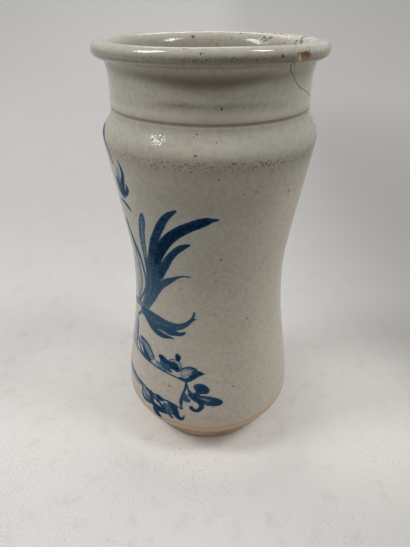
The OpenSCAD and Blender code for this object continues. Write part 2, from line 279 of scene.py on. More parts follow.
@dataclass(frozen=True)
class RimBreak:
    """Break line of the rim sherd and the knock beside it, in millimetres."""

    turn: float = 75.0
    half: float = 35.0
    depth: float = 28.0
    gap: float = 0.26
    chip_turn: float = 41.5
    chip_radius: float = 6.5
    chip_depth: float = 2.2
    chip_lift: float = 0.5
    chip_drop: float = 1.2
    chip_squeeze: float = 1.35
    chip_stretch: float = 0.85
    chip_ragged: float = 0.16
    shares_left: tuple[tuple[float, float], ...] = (
        (-1.07, 0.2), (-1.07, 0.0), (-1.18, -0.11), (-1.19, -0.22), (-1.0, -0.3), (-0.95, -0.37),
        (-0.83, -0.5), (-0.74, -0.62), (-0.67, -0.68), (-0.53, -0.74), (-0.28, -0.87), (0.08, -0.99),
        (0.3, -1.0),
    )
    shares_right: tuple[tuple[float, float], ...] = (
        (0.3, -1.0), (0.52, -0.88), (0.66, -0.62), (0.7, -0.35), (0.75, -0.13), (0.84, -0.08),
        (0.98, 0.0), (0.98, 0.2),
    )

    def edges(self, form: JarForm, line: np.ndarray, side: Side) -> tuple[np.ndarray, np.ndarray]:
        """Angles of the two edges of the break along a profile line.

        The break is a flat cut, so at radius r and height z an edge lies at the angle whose sine is
        the offset of the break line at z over r. Half the gap goes to each side of the line.

        Args:
            form: Profile of the jar.
            line: Rows of radius and height.
            side: Whether the edge of the body or of the sherd is wanted.

        Returns:
            The angles of the left and the right edge, equal where the line is below the break.
        """
        grow = self.gap / 2.0 if side is Side.BODY else -self.gap / 2.0
        left = np.array(self.shares_left) * (self.half, self.depth) + (0.0, form.height)
        right = np.array(self.shares_right) * (self.half, self.depth) + (0.0, form.height)
        low = form.height - self.depth
        z = np.maximum(line[:, 1] + grow, low)
        left_x = np.interp(z, left[::-1, 1], left[::-1, 0])
        right_x = np.interp(z, right[:, 1], right[:, 0])
        open_here = z > low + 1e-9
        left_x = np.where(open_here, left_x - grow, left[-1, 0])
        right_x = np.where(open_here, right_x + grow, left[-1, 0])
        crossed = left_x > right_x
        middle = (left_x + right_x) / 2.0
        left_x = np.where(crossed, middle, left_x)
        right_x = np.where(crossed, middle, right_x)
        reach = np.maximum(line[:, 0], self.half * 1.2)
        return (
            self.turn + np.degrees(np.arcsin(left_x / reach)),
            self.turn + np.degrees(np.arcsin(right_x / reach)),
        )

    def knock(self, form: JarForm, points: np.ndarray) -> tuple[np.ndarray, np.ndarray]:
        """Dents the lip where a round knock took a flake off.

        The knock is a sphere that is squeezed in height and stretched along the lip. A point inside
        it moves straight away from its centre to its skin, which waves with the place, so that the
        flake is ragged and shallow.

        Args:
            form: Profile of the jar.
            points: Points of the rim, in millimetres.

        Returns:
            The dented points, and how deep each was inside the sphere.
        """
        out = form.neck_radius + form.lip_overhang - self.chip_depth + self.chip_radius
        turn = math.radians(self.chip_turn)
        level = form.z_lip + form.roll - self.chip_drop
        centre = np.array([out * math.cos(turn), out * math.sin(turn), level])
        away = points - centre
        along = away @ (-math.sin(turn), math.cos(turn), 0.0)
        shape = (self.chip_stretch**2 - 1.0) * along**2 + (self.chip_squeeze**2 - 1.0) * away[..., 2] ** 2
        far = np.sqrt((away**2).sum(axis=-1) + shape)
        x, y, z = points[..., 0], points[..., 1], points[..., 2]
        wave = np.sin(2.1 * y + 0.7 * z) + np.sin(1.9 * z - 1.1 * x)
        sphere = self.chip_radius - self.chip_lift + self.chip_ragged * wave
        dented = centre + away * (sphere / far)[..., None]
        inside = sphere - far
        return np.where((inside > 0.0)[..., None], dented, points), inside


@dataclass(frozen=True)
class Stroke:
    """One stroke of the brush on one half of the ornament.

    Attributes:
        points: Degrees from the middle of the ornament, height and half breadth along the stroke.
        first: Load of pigment where the stroke starts, from 0 to 1.
        last: Load of pigment where the stroke ends.
        hollow: Share by which the middle of the stroke is thinner than its edges.
    """

    points: tuple[tuple[float, float, float], ...]
    first: float
    last: float
    hollow: float = 0.0

    def run(self, steps: int = 6) -> np.ndarray:
        """Smooth line through the stroke's points, by Catmull and Rom's cubic.

        Args:
            steps: Parts that each span is cut into.

        Returns:
            Rows of degrees, height and half breadth.
        """
        p = np.array(self.points)
        p = np.vstack([p[:1], p, p[-1:]])
        a, b, c, d = p[:-3], p[1:-2], p[2:-1], p[3:]
        t = (np.arange(steps) / steps)[None, :, None]
        a, b, c, d = (q[:, None, :] for q in (a, b, c, d))
        cubic = (
            b + t * (c - a) / 2.0 + t**2 * (a - 2.5 * b + 2.0 * c - d / 2.0)
            + t**3 * (1.5 * (b - c) + (d - a) / 2.0)
        )
        return np.vstack([cubic.reshape(-1, 3), p[-1:]])

    def lay(self, turn: np.ndarray, rise: np.ndarray) -> tuple[np.ndarray, np.ndarray]:
        """Lays the stroke on points of the unrolled wall.

        Each straight part of the line is a round brush whose breadth changes along it. A point's
        depth is the brush's half breadth less the distance to the line, at the part where it is
        deepest, and its load runs evenly from the first end to the last.

        Args:
            turn: Degrees of the points from the middle of the ornament.
            rise: Heights of the points.

        Returns:
            The depth inside the stroke in millimetres, and the load of pigment, thinned by hollow.
        """
        line = self.run()
        start, span = line[:-1], np.diff(line, axis=0)
        across = turn[:, None] - start[None, :, 0]
        along = rise[:, None] - start[None, :, 1]
        length = span[:, 0] ** 2 + span[:, 1] ** 2
        t = np.clip((across * span[:, 0] + along * span[:, 1]) / length, 0.0, 1.0)
        far = np.hypot(across - t * span[:, 0], along - t * span[:, 1])
        half = start[None, :, 2] + t * span[:, 2]
        depth = half - far
        best = depth.argmax(axis=1)
        rows = np.arange(len(turn))
        share = (best + t[rows, best]) / len(span)
        inside = depth[rows, best]
        thin = 1.0 - self.hollow * smoothstep(inside / half[rows, best], 0.25, 0.9)
        return inside, (self.first + (self.last - self.first) * share) * thin


@dataclass(frozen=True)
class Ornament:
    """Cobalt ornament: a plumed figure above a blank banner, each half the mirror of the other.

    The heights of the strokes start at the level of the drawing's foot, which lies above the jar's.

    Attributes:
        middle_turn: Angle of the ornament's middle on the jar.
        reach: Degrees from the middle within which the strokes lie.
        drawn_foot: Height of the drawing's foot.
        near: Distance from a stroke's box past which it leaves no pigment.
        fade: Depth either side of a stroke's edge over which its load fades.
        lift_fade: The same for a lift.
        pooled: Share of the load that only the core of a stroke has.
        pool_from: Depth at which that share starts.
        pool_full: Depth at which the load is full.
    """

    middle_turn: float = -90.0
    reach: float = 103.0
    drawn_foot: float = 12.0
    near: float = 9.0
    fade: float = 0.5
    lift_fade: float = 0.4
    pooled: float = 0.14
    pool_from: float = 0.2
    pool_full: float = 2.4
    plume: tuple[Stroke, ...] = (
        Stroke(((49.9, 183.6, 1.6), (48.6, 179.4, 2.7), (46.4, 172.5, 2.8), (44.9, 164.8, 2.9),
                (44.2, 157.2, 2.7), (44.1, 149.6, 2.7)), 0.64, 0.52, 0.25),
        Stroke(((72.7, 191.6, 0.9), (69.6, 189.5, 1.7), (65.7, 185.5, 2.3), (62.1, 179.9, 2.8),
                (58.6, 173.6, 2.8), (54.9, 166.1, 3.1), (51.7, 157.2, 3.3)), 0.92, 0.92, 0.03),
        Stroke(((94.8, 187.7, 0.8), (91.6, 187.5, 1.4), (88.6, 186.7, 2.6), (84.2, 184.8, 3.1),
                (79.2, 182.3, 3.2), (74.3, 179.2, 3.4), (69.6, 175.3, 3.5), (64.9, 170.4, 3.7),
                (60.3, 163.8, 3.7), (57.3, 158.0, 3.3), (54.5, 152.0, 2.6)), 1.02, 1.06),
        Stroke(((79.0, 170.5, 0.8), (76.0, 169.1, 1.7), (72.3, 166.5, 2.2), (68.7, 162.8, 2.3),
                (65.0, 158.0, 2.6), (61.3, 152.0, 3.0), (56.8, 144.3, 3.0)), 0.95, 0.88, 0.03),
        Stroke(((78.4, 147.0, 0.6), (74.2, 146.9, 0.7), (69.9, 145.3, 1.0), (66.1, 142.8, 1.7),
                (61.2, 139.4, 2.5), (56.2, 134.9, 2.6), (51.4, 129.2, 3.1), (46.2, 121.5, 3.4),
                (41.0, 114.5, 3.6)), 0.84, 0.54, 0.08),
        Stroke(((44.1, 149.6, 2.4), (43.6, 137.5, 3.0), (42.0, 125.0, 3.2),
                (36.2, 110.2, 3.8)), 0.58, 0.5),
        Stroke(((52.5, 160.0, 2.6), (51.7, 157.2, 3.3), (48.8, 145.4, 4.3), (45.9, 131.7, 4.7),
                (40.5, 116.2, 4.8)), 0.86, 0.5),
        Stroke(((58.0, 158.0, 2.4), (56.0, 155.9, 3.5), (51.3, 143.3, 3.8), (46.8, 129.7, 4.0),
                (38.9, 112.8, 4.5)), 0.9, 0.5),
        Stroke(((56.8, 144.3, 3.0), (51.9, 135.0, 3.4), (45.1, 121.8, 3.4)), 0.7, 0.52),
    )
    tail: tuple[Stroke, ...] = (
        Stroke(((33.9, 103.6, 3.9), (42.5, 104.9, 4.4), (51.4, 105.1, 4.4), (58.8, 104.9, 3.7),
                (65.5, 105.4, 3.1), (70.9, 107.0, 2.4), (75.3, 110.1, 1.8), (78.4, 113.6, 1.3),
                (80.0, 116.9, 1.0), (80.5, 119.7, 0.8)), 0.6, 0.76, 0.1),
        Stroke(((77.5, 112.1, 1.2), (79.6, 113.8, 0.9), (81.7, 114.9, 0.5)), 0.8, 0.8),
        Stroke(((41.2, 102.3, 3.7), (50.3, 100.8, 4.0), (58.3, 99.9, 3.1), (65.5, 100.3, 2.4),
                (70.5, 100.8, 1.6), (73.7, 102.6, 1.1)), 0.58, 0.88, 0.06),
        Stroke(((39.2, 101.5, 3.5), (44.6, 98.2, 3.5), (50.3, 95.8, 3.1), (56.2, 94.8, 2.2),
                (61.4, 95.5, 1.3), (65.5, 95.7, 0.6)), 0.6, 0.9, 0.06),
        Stroke(((40.0, 108.8, 2.6), (33.2, 107.4, 2.7), (26.2, 106.5, 2.7), (16.5, 103.3, 2.2),
                (8.0, 100.0, 2.0), (-1.0, 98.0, 2.0)), 0.52, 0.5, 0.3),
        Stroke(((37.1, 106.8, 1.7), (31.3, 101.5, 1.6), (23.5, 94.1, 1.3)), 0.52, 0.5),
    )
    middle: tuple[Stroke, ...] = (
        Stroke(((-1.0, 109.0, 0.9), (8.0, 113.0, 1.1), (14.0, 125.0, 1.2), (16.5, 142.0, 1.2),
                (13.0, 160.0, 1.1), (6.0, 170.0, 1.0), (-1.0, 173.0, 0.9)), 0.6, 0.5),
        Stroke(((4.5, 132.0, 0.6), (7.5, 140.0, 1.6), (6.5, 150.0, 0.6)), 0.6, 0.5),
        Stroke(((26.5, 171.8, 1.8), (29.3, 164.8, 2.0), (32.1, 158.4, 2.2), (34.9, 153.0, 2.4),
                (36.6, 147.6, 2.0), (37.6, 141.5, 1.7), (38.8, 135.8, 1.5), (39.4, 130.6, 1.4),
                (37.7, 124.1, 1.2), (33.1, 116.7, 1.2), (27.0, 108.8, 1.4)), 0.74, 0.6, 0.2),
        Stroke(((30.3, 156.1, 1.4), (31.1, 148.1, 2.0), (31.8, 140.6, 2.2), (32.8, 133.9, 1.9),
                (32.7, 127.5, 1.7), (30.8, 119.9, 1.4), (25.3, 110.7, 1.4)), 0.46, 0.46, 0.2),
    )
    top_leaves: tuple[Stroke, ...] = (
        Stroke(((10.5, 226.5, 0.8), (16.0, 223.8, 2.2), (20.5, 221.5, 2.4), (24.0, 218.5, 1.5),
                (28.0, 214.5, 1.2), (29.0, 208.5, 1.0)), 0.7, 0.7),
        Stroke(((37.5, 212.5, 0.7), (39.2, 209.2, 1.2), (39.6, 205.5, 1.6), (38.3, 201.5, 1.9),
                (36.3, 197.0, 2.4), (36.0, 193.5, 2.2), (35.5, 190.5, 1.2)), 0.8, 0.86),
        Stroke(((31.0, 199.0, 2.6), (31.5, 196.2, 3.6), (32.5, 193.3, 3.8),
                (34.5, 191.5, 2.6)), 0.6, 0.7),
        Stroke(((40.8, 199.3, 0.8), (41.0, 196.7, 1.6), (38.5, 192.9, 1.4)), 0.8, 0.8),
        Stroke(((28.5, 186.5, 1.1), (33.2, 185.4, 1.6), (36.5, 184.1, 1.4),
                (39.0, 182.7, 0.9)), 0.7, 0.78),
    )
    banner: tuple[Stroke, ...] = (
        Stroke(((-1.0, 66.0, 0.9), (20.0, 66.0, 0.9), (31.0, 66.0, 1.1), (39.0, 65.7, 1.1),
                (47.0, 66.2, 1.0), (55.0, 65.6, 0.9), (62.0, 65.2, 0.8), (68.2, 64.5, 0.8),
                (72.6, 63.4, 0.8)), 0.5, 0.85),
        Stroke(((-1.0, 41.0, 0.9), (18.0, 41.0, 0.9), (31.5, 40.5, 1.1), (39.0, 40.7, 1.1),
                (45.0, 40.2, 1.1), (52.0, 40.2, 1.0), (59.0, 40.5, 1.0), (64.6, 40.5, 1.0),
                (69.0, 39.4, 0.9), (72.6, 38.0, 0.8)), 0.5, 0.9),
    )
    bud: tuple[Stroke, ...] = (
        Stroke(((24.0, 93.0, 0.8), (24.6, 84.0, 1.8), (25.1, 76.5, 1.6), (25.5, 69.5, 0.9)), 0.5, 0.6),
        Stroke(((30.0, 78.6, 1.0), (36.0, 79.9, 1.4), (42.8, 79.1, 1.2), (46.6, 75.4, 1.0),
                (49.5, 71.0, 0.9)), 0.72, 0.6),
        Stroke(((28.3, 75.3, 1.3), (31.5, 70.2, 1.3), (36.6, 67.6, 1.3), (42.7, 66.6, 1.1)), 0.6, 0.7),
        Stroke(((34.2, 75.1, 1.5), (37.6, 72.1, 2.2), (41.2, 69.3, 2.6), (45.0, 67.6, 1.6)), 0.7, 0.82),
        Stroke(((54.4, 76.1, 1.4), (56.0, 75.8, 2.6), (58.4, 74.8, 2.8), (61.0, 73.6, 2.3)), 0.97, 0.82),
        Stroke(((68.4, 83.0, 1.5), (69.1, 81.5, 2.3), (69.0, 79.0, 1.4)), 0.99, 0.95),
        Stroke(((61.5, 75.3, 0.5), (64.6, 78.3, 0.6), (68.4, 78.6, 0.7), (71.0, 76.4, 0.7),
                (71.6, 72.6, 0.6)), 0.62, 0.66),
        Stroke(((63.5, 75.6, 0.4), (66.6, 76.9, 0.5), (69.3, 75.6, 0.5), (70.4, 72.2, 0.5)), 0.5, 0.5),
        Stroke(((62.6, 73.8, 1.7), (65.2, 73.3, 3.3), (67.6, 72.1, 3.1), (69.2, 70.4, 1.6)), 0.86, 0.94),
        Stroke(((56.6, 71.2, 2.4), (59.3, 69.9, 3.2), (61.8, 69.2, 2.3)), 0.56, 0.66),
        Stroke(((63.1, 67.5, 1.0), (64.5, 67.7, 1.0)), 0.8, 0.8),
    )
    finial: tuple[Stroke, ...] = (
        Stroke(((70.6, 70.1, 0.6), (73.7, 73.6, 0.8), (77.9, 75.3, 0.9), (81.8, 74.2, 1.3)), 0.7, 0.82),
        Stroke(((71.5, 65.0, 1.0), (74.0, 63.9, 1.6), (77.1, 64.8, 1.9), (80.5, 68.1, 2.2),
                (83.5, 70.5, 2.1), (87.2, 71.2, 0.8)), 0.76, 0.95),
        Stroke(((80.1, 71.6, 1.1), (82.8, 71.8, 1.9), (85.2, 71.1, 1.8)), 0.82, 0.95),
        Stroke(((75.6, 62.5, 0.9), (75.3, 58.7, 0.9), (74.4, 54.1, 1.0), (73.1, 49.2, 1.1),
                (72.6, 44.5, 1.4), (72.5, 41.0, 1.0), (73.3, 38.4, 0.9)), 0.74, 0.84),
        Stroke(((76.2, 60.9, 0.7), (77.1, 56.8, 0.9), (78.6, 54.3, 1.3)), 0.74, 0.8),
        Stroke(((75.6, 51.6, 1.2), (75.5, 48.2, 2.3), (76.9, 47.1, 2.1)), 0.58, 0.68),
        Stroke(((78.6, 53.0, 1.9), (81.0, 51.2, 3.2), (83.8, 49.7, 3.6), (85.8, 46.7, 2.3)), 0.8, 0.9),
        Stroke(((82.4, 53.1, 1.7), (84.6, 56.0, 2.2)), 0.8, 0.82),
        Stroke(((83.2, 59.7, 2.7), (85.5, 58.7, 4.2), (88.0, 57.5, 3.5), (89.4, 56.7, 1.7)), 0.82, 0.9),
        Stroke(((84.4, 50.4, 2.6), (87.7, 49.2, 3.8), (91.3, 48.0, 4.2), (94.9, 47.1, 3.8),
                (97.7, 46.5, 2.5), (99.2, 46.2, 0.9)), 0.62, 0.98, 0.1),
        Stroke(((85.5, 46.4, 2.0), (86.2, 43.3, 1.8), (85.0, 40.3, 1.7), (82.8, 38.8, 1.6),
                (80.7, 39.5, 1.6), (79.5, 41.0, 1.5), (80.2, 42.4, 0.6)), 0.84, 0.99),
    )
    pendants: tuple[Stroke, ...] = (
        Stroke(((39.8, 38.5, 0.9), (39.4, 32.4, 1.2), (41.4, 28.9, 1.5), (45.5, 28.7, 1.5),
                (49.6, 30.0, 1.5)), 0.62, 0.74),
        Stroke(((42.8, 39.6, 1.0), (46.8, 39.0, 1.8), (49.1, 36.3, 2.2), (50.1, 32.5, 2.0)), 0.8, 0.8),
        Stroke(((49.6, 32.1, 2.3), (52.5, 29.9, 2.8), (56.0, 29.2, 2.9), (59.3, 28.6, 2.0)), 0.82, 0.94),
        Stroke(((48.7, 41.0, 1.0), (51.3, 38.0, 1.1), (54.7, 35.3, 1.1)), 0.78, 0.7),
        Stroke(((53.0, 40.4, 1.1), (56.2, 39.8, 2.4), (59.0, 39.3, 1.3)), 0.92, 0.88),
        Stroke(((52.6, 26.0, 1.9), (55.0, 23.3, 2.4), (57.4, 21.6, 1.2)), 0.86, 0.92),
        Stroke(((53.6, 37.4, 0.9), (57.0, 35.2, 1.4), (59.6, 32.0, 1.7), (61.6, 27.6, 0.9)), 0.8, 0.9),
        Stroke(((60.2, 37.5, 0.8), (60.8, 32.6, 0.9), (63.3, 29.0, 1.0), (66.6, 26.7, 1.2)), 0.64, 0.8),
        Stroke(((64.2, 40.1, 1.4), (66.9, 37.8, 2.8), (68.7, 34.0, 2.6), (69.9, 30.2, 2.3),
                (72.4, 28.1, 1.8), (74.5, 30.0, 0.8), (74.9, 32.3, 0.5)), 0.88, 0.98),
    )
    washes: tuple[Stroke, ...] = (
        Stroke(((34.5, 207.0, 1.6), (33.5, 201.5, 2.6)), 0.3, 0.4),
        Stroke(((25.6, 138.9, 4.2), (27.8, 132.1, 3.8), (27.7, 124.0, 3.2),
                (24.5, 114.5, 2.8)), 0.22, 0.22),
        Stroke(((19.1, 86.9, 3.0), (21.1, 80.0, 3.6), (21.0, 71.4, 3.8), (25.8, 66.6, 2.8)), 0.28, 0.3),
        Stroke(((32.0, 75.5, 2.2), (37.0, 76.0, 3.4), (42.0, 74.5, 3.6), (46.5, 70.5, 2.4)), 0.36, 0.4),
        Stroke(((52.1, 69.8, 1.8), (55.4, 67.8, 1.8), (59.0, 66.1, 1.4)), 0.4, 0.42),
        Stroke(((62.0, 72.0, 2.0), (66.5, 75.0, 2.6)), 0.4, 0.4),
        Stroke(((73.0, 68.0, 2.2), (76.6, 70.9, 3.0), (79.6, 72.2, 2.4)), 0.34, 0.4),
        Stroke(((42.5, 36.5, 2.2), (44.5, 33.0, 3.0), (47.0, 31.0, 2.2)), 0.36, 0.5),
        Stroke(((62.6, 37.1, 1.6), (63.4, 33.7, 2.2), (65.6, 30.3, 1.8)), 0.5, 0.6),
        Stroke(((22.1, 36.8, 2.6), (29.2, 37.2, 2.8), (36.6, 38.1, 1.9)), 0.28, 0.32),
        Stroke(((13.4, 38.4, 1.4), (19.9, 38.3, 1.4), (28.0, 38.7, 1.3), (35.0, 38.7, 1.2),
                (39.6, 38.2, 1.0)), 0.46, 0.5),
    )
    lifts: tuple[Stroke, ...] = (
        Stroke(((47.6, 179.0, 0.4), (46.8, 170.0, 0.7), (45.8, 160.0, 0.5)), 0.15, 0.1),
        Stroke(((63.5, 181.5, 0.3), (60.5, 176.0, 0.4), (57.0, 168.5, 0.2)), 0.1, 0.1),
        Stroke(((61.5, 143.5, 0.3), (58.5, 141.0, 0.4), (55.5, 138.0, 0.2)), 0.35, 0.3),
        Stroke(((48.6, 160.0, 0.3), (47.0, 146.0, 0.5), (44.8, 132.0, 0.6),
                (40.5, 117.0, 0.4)), 0.26, 0.22),
        Stroke(((60.0, 104.0, 0.3), (52.0, 103.2, 0.5), (44.0, 103.4, 0.4)), 0.25, 0.2),
        Stroke(((51.8, 98.2, 0.3), (57.9, 97.6, 0.7), (64.7, 96.7, 0.4)), 0.8, 0.7),
        Stroke(((72.5, 68.6, 0.5), (75.5, 70.5, 1.1), (78.5, 72.2, 0.6)), 0.5, 0.35),
        Stroke(((83.4, 50.8, 0.3), (87.1, 49.7, 0.6), (91.0, 48.4, 0.4)), 0.7, 0.55),
        Stroke(((76.5, 53.6, 0.8), (76.6, 52.0, 0.6)), 0.6, 0.6),
        Stroke(((66.5, 69.6, 0.5), (67.2, 68.8, 0.8), (68.2, 68.0, 0.5)), 0.7, 0.7),
    )

    def strokes(self) -> tuple[Stroke, ...]:
        """All strokes that leave pigment, in the order of painting."""
        lines = self.middle + self.top_leaves + self.banner + self.bud + self.finial + self.pendants
        return self.washes + self.plume + self.tail + lines

    def paint(self, angle: np.ndarray, rise: np.ndarray) -> tuple[np.ndarray, np.ndarray]:
        """Pigment on points of the outer wall.

        The depth and the load are the largest over the strokes, each load deepest in the stroke's
        core and faded over its edge, and lifts then take a share of the load away.

        Args:
            angle: Angles of the points on the jar.
            rise: Heights of the points.

        Returns:
            The depth inside the painting in millimetres, below 0 outside it, and the load.
        """
        turn = np.abs((angle - self.middle_turn + 180.0) % 360.0 - 180.0)
        rise = rise - self.drawn_foot
        depth = np.full(turn.shape, -self.near)
        load = np.zeros(turn.shape)
        for stroke in self.strokes():
            here = self._near(stroke, turn, rise)
            inside, amount = stroke.lay(turn[here], rise[here])
            depth[here] = np.maximum(depth[here], inside)
            core = smoothstep(inside, self.pool_from, self.pool_full)
            amount = amount * (1.0 - self.pooled + self.pooled * core)
            load[here] = np.maximum(load[here], amount * smoothstep(inside, -self.fade, self.fade))
        for stroke in self.lifts:
            here = self._near(stroke, turn, rise)
            inside, share = stroke.lay(turn[here], rise[here])
            load[here] *= 1.0 - share * smoothstep(inside, -self.lift_fade, self.lift_fade)
        return depth, load

    def _near(self, stroke: Stroke, turn: np.ndarray, rise: np.ndarray) -> np.ndarray:
        """Marks the points that lie near a stroke's box."""
        p = np.array(stroke.points)
        low, high = p.min(axis=0) - self.near, p.max(axis=0) + self.near
        return (turn > low[0]) & (turn < high[0]) & (rise > low[1]) & (rise < high[1])


@dataclass
class Surface:
    """A surface on a grid of two parameters, with values kept at its points.

    Attributes:
        points: Rows by columns by 3, in millimetres.
        wrap: Whether the last column joins the first.
        pole: A point that closes the last row, or None.
        marks: Values at the points, by the name of the attribute that holds them.
    """

    points: np.ndarray
    wrap: bool
    pole: Point | None = None
    marks: dict[str, np.ndarray] = field(default_factory=dict)

    def faces(self) -> list[tuple[int, ...]]:
        """Quads between neighbouring rows and columns, and a fan of triangles to the pole.

        Columns run with the angle and rows along the profile, so that the faces look outwards.

        Returns:
            The vertex numbers of each face.
        """
        rows, columns = self.points.shape[:2]
        number = np.arange(rows * columns).reshape(rows, columns)
        if self.wrap:
            number = np.column_stack([number, number[:, :1]])
        quads = np.stack([number[:-1, :-1], number[:-1, 1:], number[1:, 1:], number[1:, :-1]], axis=-1)
        found = quads.reshape(-1, 4).tolist()
        if self.pole is not None:
            last = number[-1]
            fan = np.stack([last[:-1], last[1:], np.full(len(last) - 1, rows * columns)], axis=-1)
            found += fan.tolist()
        return found

    def make(self, name: str, weld: bool = False) -> bpy.types.Object:
        """Makes the mesh object of the surface.

        Args:
            name: Name of the object.
            weld: Whether points that fall together are merged.

        Returns:
            The object, at the origin, with smooth faces.
        """
        flat = self.points.reshape(-1, 3)
        if self.pole is not None:
            flat = np.vstack([flat, self.pole])
        mesh = bpy.data.meshes.new(name)
        mesh.from_pydata((flat * MM).tolist(), [], self.faces())
        for mark, values in self.marks.items():
            line = values.reshape(-1).astype(np.float32)
            line = np.append(line, line[-1:]) if self.pole is not None else line
            mesh.attributes.new(mark, "FLOAT", "POINT").data.foreach_set("value", line)
        if weld:
            shape = bmesh.new()
            shape.from_mesh(mesh)
            bmesh.ops.remove_doubles(shape, verts=shape.verts, dist=1e-6)
            shape.to_mesh(mesh)
            shape.free()
        mesh.polygons.foreach_set("use_smooth", np.ones(len(mesh.polygons), dtype=bool))
        mesh.update()
        piece = bpy.data.objects.new(name, mesh)
        bpy.context.scene.collection.objects.link(piece)
        return piece


def turned(line_r: np.ndarray, line_z: np.ndarray, angle: np.ndarray) -> np.ndarray:
    """Carries a profile round the axis: x = r cos a, y = r sin a, z = z.

    Args:
        line_r: Radii, for each point of the grid.
        line_z: Heights, for each point of the grid.
        angle: Angles in degrees, for each point of the grid.

    Returns:
        The points of the grid, in millimetres.
    """
    a = np.radians(angle)
    return np.stack([line_r * np.cos(a), line_r * np.sin(a), np.broadcast_to(line_z, a.shape)], axis=-1)


def outward(line: np.ndarray) -> np.ndarray:
    """Unit normals of a profile line, to the right of its run, which is away from the clay.

    Args:
        line: Rows of radius and height.

    Returns:
        Rows of the normal's radial and upward parts.
    """
    run = np.gradient(line, axis=0)
    normal = np.column_stack([run[:, 1], -run[:, 0]])
    return normal / np.linalg.norm(normal, axis=1, keepdims=True)


class Recipe:
    """Node tree of one material or world, with short ways to add the nodes that it needs.

    SPECK_CORE is the share of a speck's radius within which it is full.
    """

    SPECK_CORE = 0.5

    def __init__(self, name: str, tree: bpy.types.NodeTree | None = None) -> None:
        """Starts with an empty tree.

        Args:
            name: Name of the material.
            tree: Tree to use in place of a new material's.
        """
        if tree is None:
            self.material = bpy.data.materials.new(name)
            self.material.use_nodes = True
            tree = self.material.node_tree
        self.tree = tree
        self.tree.nodes.clear()
        self.place = self.tree.nodes.new("ShaderNodeTexCoord")
        self.object = self.place.outputs["Object"]

    def node(self, kind: str, inputs: dict[Any, Any] | None = None, **settings: Any) -> bpy.types.Node:
        """Adds a node.

        Args:
            kind: Blender's name of the node type.
            inputs: Values or sockets by the input's name or number.
            settings: Properties of the node.

        Returns:
            The node.
        """
        made = self.tree.nodes.new(kind)
        for key, value in settings.items():
            setattr(made, key, value)
        for key, value in (inputs or {}).items():
            if isinstance(value, bpy.types.NodeSocket):
                self.tree.links.new(value, made.inputs[key])
            elif isinstance(value, tuple) and len(value) == 3 and made.inputs[key].type == "RGBA":
                made.inputs[key].default_value = (*value, 1.0)
            else:
                made.inputs[key].default_value = value
        return made

    def math(self, operation: str, a: Any, b: Any = 0.0) -> bpy.types.NodeSocket:
        """Adds an operation on two numbers and returns its result."""
        return self.node("ShaderNodeMath", {0: a, 1: b}, operation=operation).outputs[0]

    def times(self, a: Any, b: Any) -> bpy.types.NodeSocket:
        """Adds the product of two numbers."""
        return self.math("MULTIPLY", a, b)

    def plus(self, a: Any, b: Any) -> bpy.types.NodeSocket:
        """Adds the sum of two numbers."""
        return self.math("ADD", a, b)

    def minus(self, a: Any, b: Any) -> bpy.types.NodeSocket:
        """Adds the first number less the second."""
        return self.math("SUBTRACT", a, b)

    def most(self, a: Any, b: Any) -> bpy.types.NodeSocket:
        """Adds the larger of two numbers."""
        return self.math("MAXIMUM", a, b)

    def ease(
        self, value: Any, low: float, high: float, start: Any = 0.0, end: Any = 1.0
    ) -> bpy.types.NodeSocket:
        """Adds a smooth blend of a number.

        Args:
            value: Number to blend by.
            low: Number at which the blend starts.
            high: Number at which the blend ends.
            start: Result at low.
            end: Result at high.

        Returns:
            The blended number.
        """
        inputs = {"Value": value, "From Min": low, "From Max": high, "To Min": start, "To Max": end}
        return self.node("ShaderNodeMapRange", inputs, interpolation_type="SMOOTHSTEP").outputs["Result"]

    def blend(self, share: Any, a: Any, b: Any, way: str = "MIX") -> bpy.types.NodeSocket:
        """Adds a mix of two colours.

        Args:
            share: How much of the second colour shows.
            a: First colour.
            b: Second colour.
            way: Blend type.

        Returns:
            The mixed colour.
        """
        made = self.node("ShaderNodeMix", data_type="RGBA", blend_type=way)
        for index, value in ((0, share), (6, a), (7, b)):
            if isinstance(value, bpy.types.NodeSocket):
                self.tree.links.new(value, made.inputs[index])
            else:
                made.inputs[index].default_value = (*value, 1.0) if isinstance(value, tuple) else value
        return made.outputs[2]

    def tint(self, tone: Any, share: Any, amount: float, colour: Any) -> bpy.types.NodeSocket:
        """Adds a colour over another, by an amount of a share from 0 to 1."""
        return self.blend(self.times(share, amount), tone, colour)

    def noise(self, scale: float, detail: float = 2.0, vector: Any = None) -> bpy.types.NodeSocket:
        """Adds a cloud pattern and returns its number, about 0.5 on average."""
        inputs = {"Vector": vector or self.object, "Scale": scale, "Detail": detail}
        return self.node("ShaderNodeTexNoise", inputs).outputs[0]

    def drift(self, scale: float, detail: float, amount: float) -> bpy.types.NodeSocket:
        """Adds a cloud pattern about 0 whose whole spread is an amount."""
        return self.times(self.minus(self.noise(scale, detail), 0.5), amount)

    def stretched(self, scale: Point) -> bpy.types.NodeSocket:
        """Adds object coordinates stretched by a scale along each axis."""
        return self.node("ShaderNodeMapping", {"Vector": self.object, "Scale": scale}).outputs[0]

    def specks(self, scale: float, radius: float, share: float) -> bpy.types.NodeSocket:
        """Adds scattered round specks, one at most in each cell of a random pattern.

        Args:
            scale: Cells in each metre.
            radius: Radius of a speck in metres.
            share: Share of the cells that hold a speck.

        Returns:
            1 on a speck and 0 off it.
        """
        cells = self.node("ShaderNodeTexVoronoi", {"Vector": self.object, "Scale": scale})
        chance = self.node("ShaderNodeSeparateColor", {0: cells.outputs["Color"]})
        size = self.times(self.ease(chance.outputs[1], 0.0, 1.0, 0.5, 1.0), radius * scale)
        near = self.math("DIVIDE", cells.outputs["Distance"], size)
        round_spot = self.ease(near, 1.0, self.SPECK_CORE)
        return self.times(round_spot, self.math("LESS_THAN", chance.outputs[0], share))

